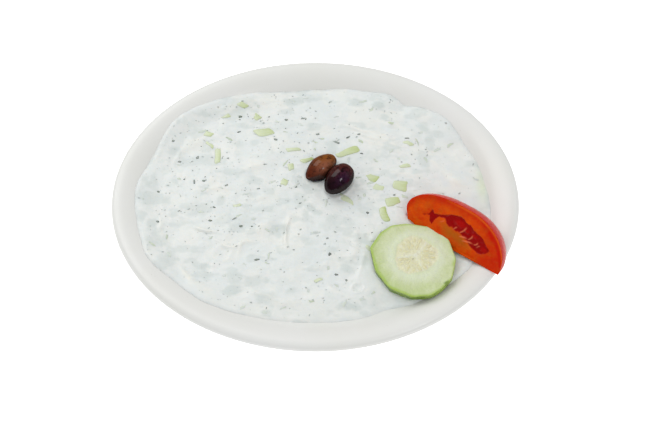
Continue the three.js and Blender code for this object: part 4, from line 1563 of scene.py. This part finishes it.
def build_lights(settings):
    """A large softbox behind to the left, weak ones to the right and by the camera, and a sky."""
    centre = (CAD_BOX[0] + CAD_BOX[1]) / 2
    softbox("key_softbox", KEY_BOX, centre, settings.key_power, (1.0, 1.0, 0.985))
    softbox("side_softbox", SIDE_BOX, centre, settings.side_power, (1.0, 0.99, 1.0))
    softbox("glint_softbox", GLINT_BOX, centre, settings.glint_power, (1.0, 1.0, 1.0))
    world = bpy.data.worlds.new("studio")
    world.use_nodes = True
    sky = world.node_tree.nodes["Background"]
    sky.inputs["Color"].default_value = (0.985, 0.995, 1.0, 1.0)
    path = world.node_tree.nodes.new("ShaderNodeLightPath")
    shading = Shading(world.node_tree)
    dimmed = shading.span(
        path.outputs["Is Glossy Ray"], 0.0, 1.0, settings.sky, settings.sky * settings.sky_gloss
    )
    seen = shading.math("MULTIPLY", path.outputs["Is Camera Ray"], 1.0 - settings.sky)
    world.node_tree.links.new(shading.math("ADD", dimmed, seen), sky.inputs["Strength"])
    bpy.context.scene.world = world


def build_camera(settings):
    """A camera above the near side, aimed a little right of the dish's middle and nearer."""
    low, high = CAD_BOX
    middle = (low + high) / 2
    aim = Vector((middle.x + settings.aim_right, middle.y - settings.aim_near, settings.aim_height))
    lift = settings.elevation
    away = Vector((0.0, -math.cos(lift), math.sin(lift)))
    data = bpy.data.cameras.new("camera")
    data.lens = settings.lens
    data.sensor_width = 36.0
    data.clip_start = 0.01
    data.clip_end = 20.0
    camera = bpy.data.objects.new("camera", data)
    camera.location = aim + away * settings.distance
    camera.rotation_euler = (-away).to_track_quat("-Z", "Y").to_euler()
    bpy.context.scene.collection.objects.link(camera)
    bpy.context.scene.camera = camera
    bpy.context.scene.view_settings.view_transform = "Standard"


# ------------------------------------------------------------------ settings and operators


class DishSettings(bpy.types.PropertyGroup):
    """Sizes of the dish's surface."""

    facets: bpy.props.IntProperty(
        name="Facets", description="Columns round the dish", default=320, min=64,
    )
    waviness: bpy.props.FloatProperty(
        name="Waviness", description="How far the rim strays from a true oval, in millimetres",
        default=0.16, min=0.0, max=2.0,
    )


class DipSettings(bpy.types.PropertyGroup):
    """Fineness of the dip's surface."""

    around: bpy.props.IntProperty(
        name="Around", description="Columns round the dip", default=560, min=64,
    )
    rings: bpy.props.IntProperty(
        name="Rings", description="Rings from the dip's middle to its edge", default=164, min=16,
    )


class SliceSettings(bpy.types.PropertyGroup):
    """Fineness of the cucumber slice."""

    around: bpy.props.IntProperty(
        name="Around", description="Columns round the slice", default=300, min=32,
    )
    rings: bpy.props.IntProperty(
        name="Rings", description="Rings on the slice's face", default=110, min=8,
    )


class WedgeSettings(bpy.types.PropertyGroup):
    """Fineness of the tomato wedge."""

    spacing: bpy.props.FloatProperty(
        name="Spacing", description="Distance between loops on the skin, in millimetres",
        default=0.42, min=0.1, max=4.0,
    )


class OliveSettings(bpy.types.PropertyGroup):
    """Fineness of the olives."""

    around: bpy.props.IntProperty(
        name="Around", description="Columns round an olive", default=150, min=16,
    )
    rings: bpy.props.IntProperty(
        name="Rings", description="Rings along an olive", default=120, min=8,
    )


class StageSettings(bpy.types.PropertyGroup):
    """The floor, the lights and the camera."""

    floor_size: bpy.props.FloatProperty(
        name="Floor Size", description="Side of the floor", default=6.0, unit="LENGTH",
    )
    floor_glow: bpy.props.FloatProperty(
        name="Floor Glow", description="Light that the floor gives off", default=0.9, min=0.0,
    )
    key_power: bpy.props.FloatProperty(
        name="Key Power", description="Power of the large softbox", default=5.0, unit="POWER",
    )
    side_power: bpy.props.FloatProperty(
        name="Side Power", description="Power of the right softbox", default=0.2, unit="POWER",
    )
    glint_power: bpy.props.FloatProperty(
        name="Glint Power", description="Power of the small softbox that glints on the olives",
        default=0.75, unit="POWER",
    )
    sky: bpy.props.FloatProperty(
        name="Sky", description="Strength of the even light from all round", default=0.67,
    )
    sky_gloss: bpy.props.FloatProperty(
        name="Sky Gloss", description="Share of the sky that shiny surfaces show", default=0.15,
    )
    aim_right: bpy.props.FloatProperty(
        name="Aim Right", description="How far right of the middle the camera aims",
        default=0.00855, unit="LENGTH",
    )
    aim_near: bpy.props.FloatProperty(
        name="Aim Near", description="How far this side of the middle the camera aims",
        default=0.01272, unit="LENGTH",
    )
    aim_height: bpy.props.FloatProperty(
        name="Aim Height", description="Height that the camera aims at",
        default=0.03, unit="LENGTH",
    )
    distance: bpy.props.FloatProperty(
        name="Distance", description="From the camera to its aim", default=0.75, unit="LENGTH",
    )
    elevation: bpy.props.FloatProperty(
        name="Elevation", description="Angle above the horizon", default=math.radians(62.0),
        subtype="ANGLE",
    )
    lens: bpy.props.FloatProperty(
        name="Lens", description="Focal length in millimetres", default=69.9, min=10.0,
    )


class TZATZIKI_OT_dish(bpy.types.Operator):
    """Build the glazed oval dish"""

    bl_idname = "tzatziki.dish"
    bl_label = "Dish"

    def execute(self, context):
        build_dish(context.scene.tzatziki_dish)
        return {"FINISHED"}


class TZATZIKI_OT_dip(bpy.types.Operator):
    """Build the dip that fills the dish"""

    bl_idname = "tzatziki.dip"
    bl_label = "Dip"

    def execute(self, context):
        build_dip(context.scene.tzatziki_dip)
        return {"FINISHED"}


class TZATZIKI_OT_bits(bpy.types.Operator):
    """Build the cucumber bits, the grated cucumber and the herbs on the dip"""

    bl_idname = "tzatziki.bits"
    bl_label = "Cucumber Bits and Herbs"

    def execute(self, context):
        build_bits()
        build_shreds()
        build_herbs()
        return {"FINISHED"}


class TZATZIKI_OT_slice(bpy.types.Operator):
    """Build the cucumber slice and its seeds"""

    bl_idname = "tzatziki.slice"
    bl_label = "Cucumber Slice"

    def execute(self, context):
        build_slice(context.scene.tzatziki_slice)
        build_seeds()
        return {"FINISHED"}


class TZATZIKI_OT_wedge(bpy.types.Operator):
    """Build the tomato wedge"""

    bl_idname = "tzatziki.wedge"
    bl_label = "Tomato Wedge"

    def execute(self, context):
        build_wedge(context.scene.tzatziki_wedge)
        return {"FINISHED"}


class TZATZIKI_OT_olives(bpy.types.Operator):
    """Build the two olives"""

    bl_idname = "tzatziki.olives"
    bl_label = "Olives"

    def execute(self, context):
        for name in OLIVES:
            build_olive(name, context.scene.tzatziki_olives)
        return {"FINISHED"}


class TZATZIKI_OT_stage(bpy.types.Operator):
    """Build the floor, the lights and the camera"""

    bl_idname = "tzatziki.stage"
    bl_label = "Stage"

    def execute(self, context):
        build_floor(context.scene.tzatziki_stage)
        build_lights(context.scene.tzatziki_stage)
        build_camera(context.scene.tzatziki_stage)
        return {"FINISHED"}


OPERATORS = (
    TZATZIKI_OT_dish, TZATZIKI_OT_dip, TZATZIKI_OT_bits, TZATZIKI_OT_slice,
    TZATZIKI_OT_wedge, TZATZIKI_OT_olives, TZATZIKI_OT_stage,
)
SETTINGS = {
    "tzatziki_dish": DishSettings,
    "tzatziki_dip": DipSettings,
    "tzatziki_slice": SliceSettings,
    "tzatziki_wedge": WedgeSettings,
    "tzatziki_olives": OliveSettings,
    "tzatziki_stage": StageSettings,
}


class TZATZIKI_PT_sidebar(bpy.types.Panel):
    """Lists the operators and the settings in the sidebar"""

    bl_label = "Tzatziki"
    bl_idname = "TZATZIKI_PT_sidebar"
    bl_space_type = "VIEW_3D"
    bl_region_type = "UI"
    bl_category = "Tzatziki"

    def draw(self, context):
        for operator in OPERATORS:
            self.layout.operator(operator.bl_idname)
        for name, group in SETTINGS.items():
            box = self.layout.box()
            for label in group.__annotations__:
                box.prop(getattr(context.scene, name), label)


CLASSES = (*SETTINGS.values(), *OPERATORS, TZATZIKI_PT_sidebar)


def register():
    for made in CLASSES:
        bpy.utils.register_class(made)
    for name, group in SETTINGS.items():
        setattr(bpy.types.Scene, name, bpy.props.PointerProperty(type=group))


def unregister():
    for name in SETTINGS:
        delattr(bpy.types.Scene, name)
    for made in reversed(CLASSES):
        bpy.utils.unregister_class(made)


def main():
    """Builds every piece in order."""
    register()
    bpy.ops.tzatziki.dish()
    bpy.ops.tzatziki.dip()
    bpy.ops.tzatziki.bits()
    bpy.ops.tzatziki.slice()
    bpy.ops.tzatziki.wedge()
    bpy.ops.tzatziki.olives()
    bpy.ops.tzatziki.stage()


if __name__ == "__main__":
    main()
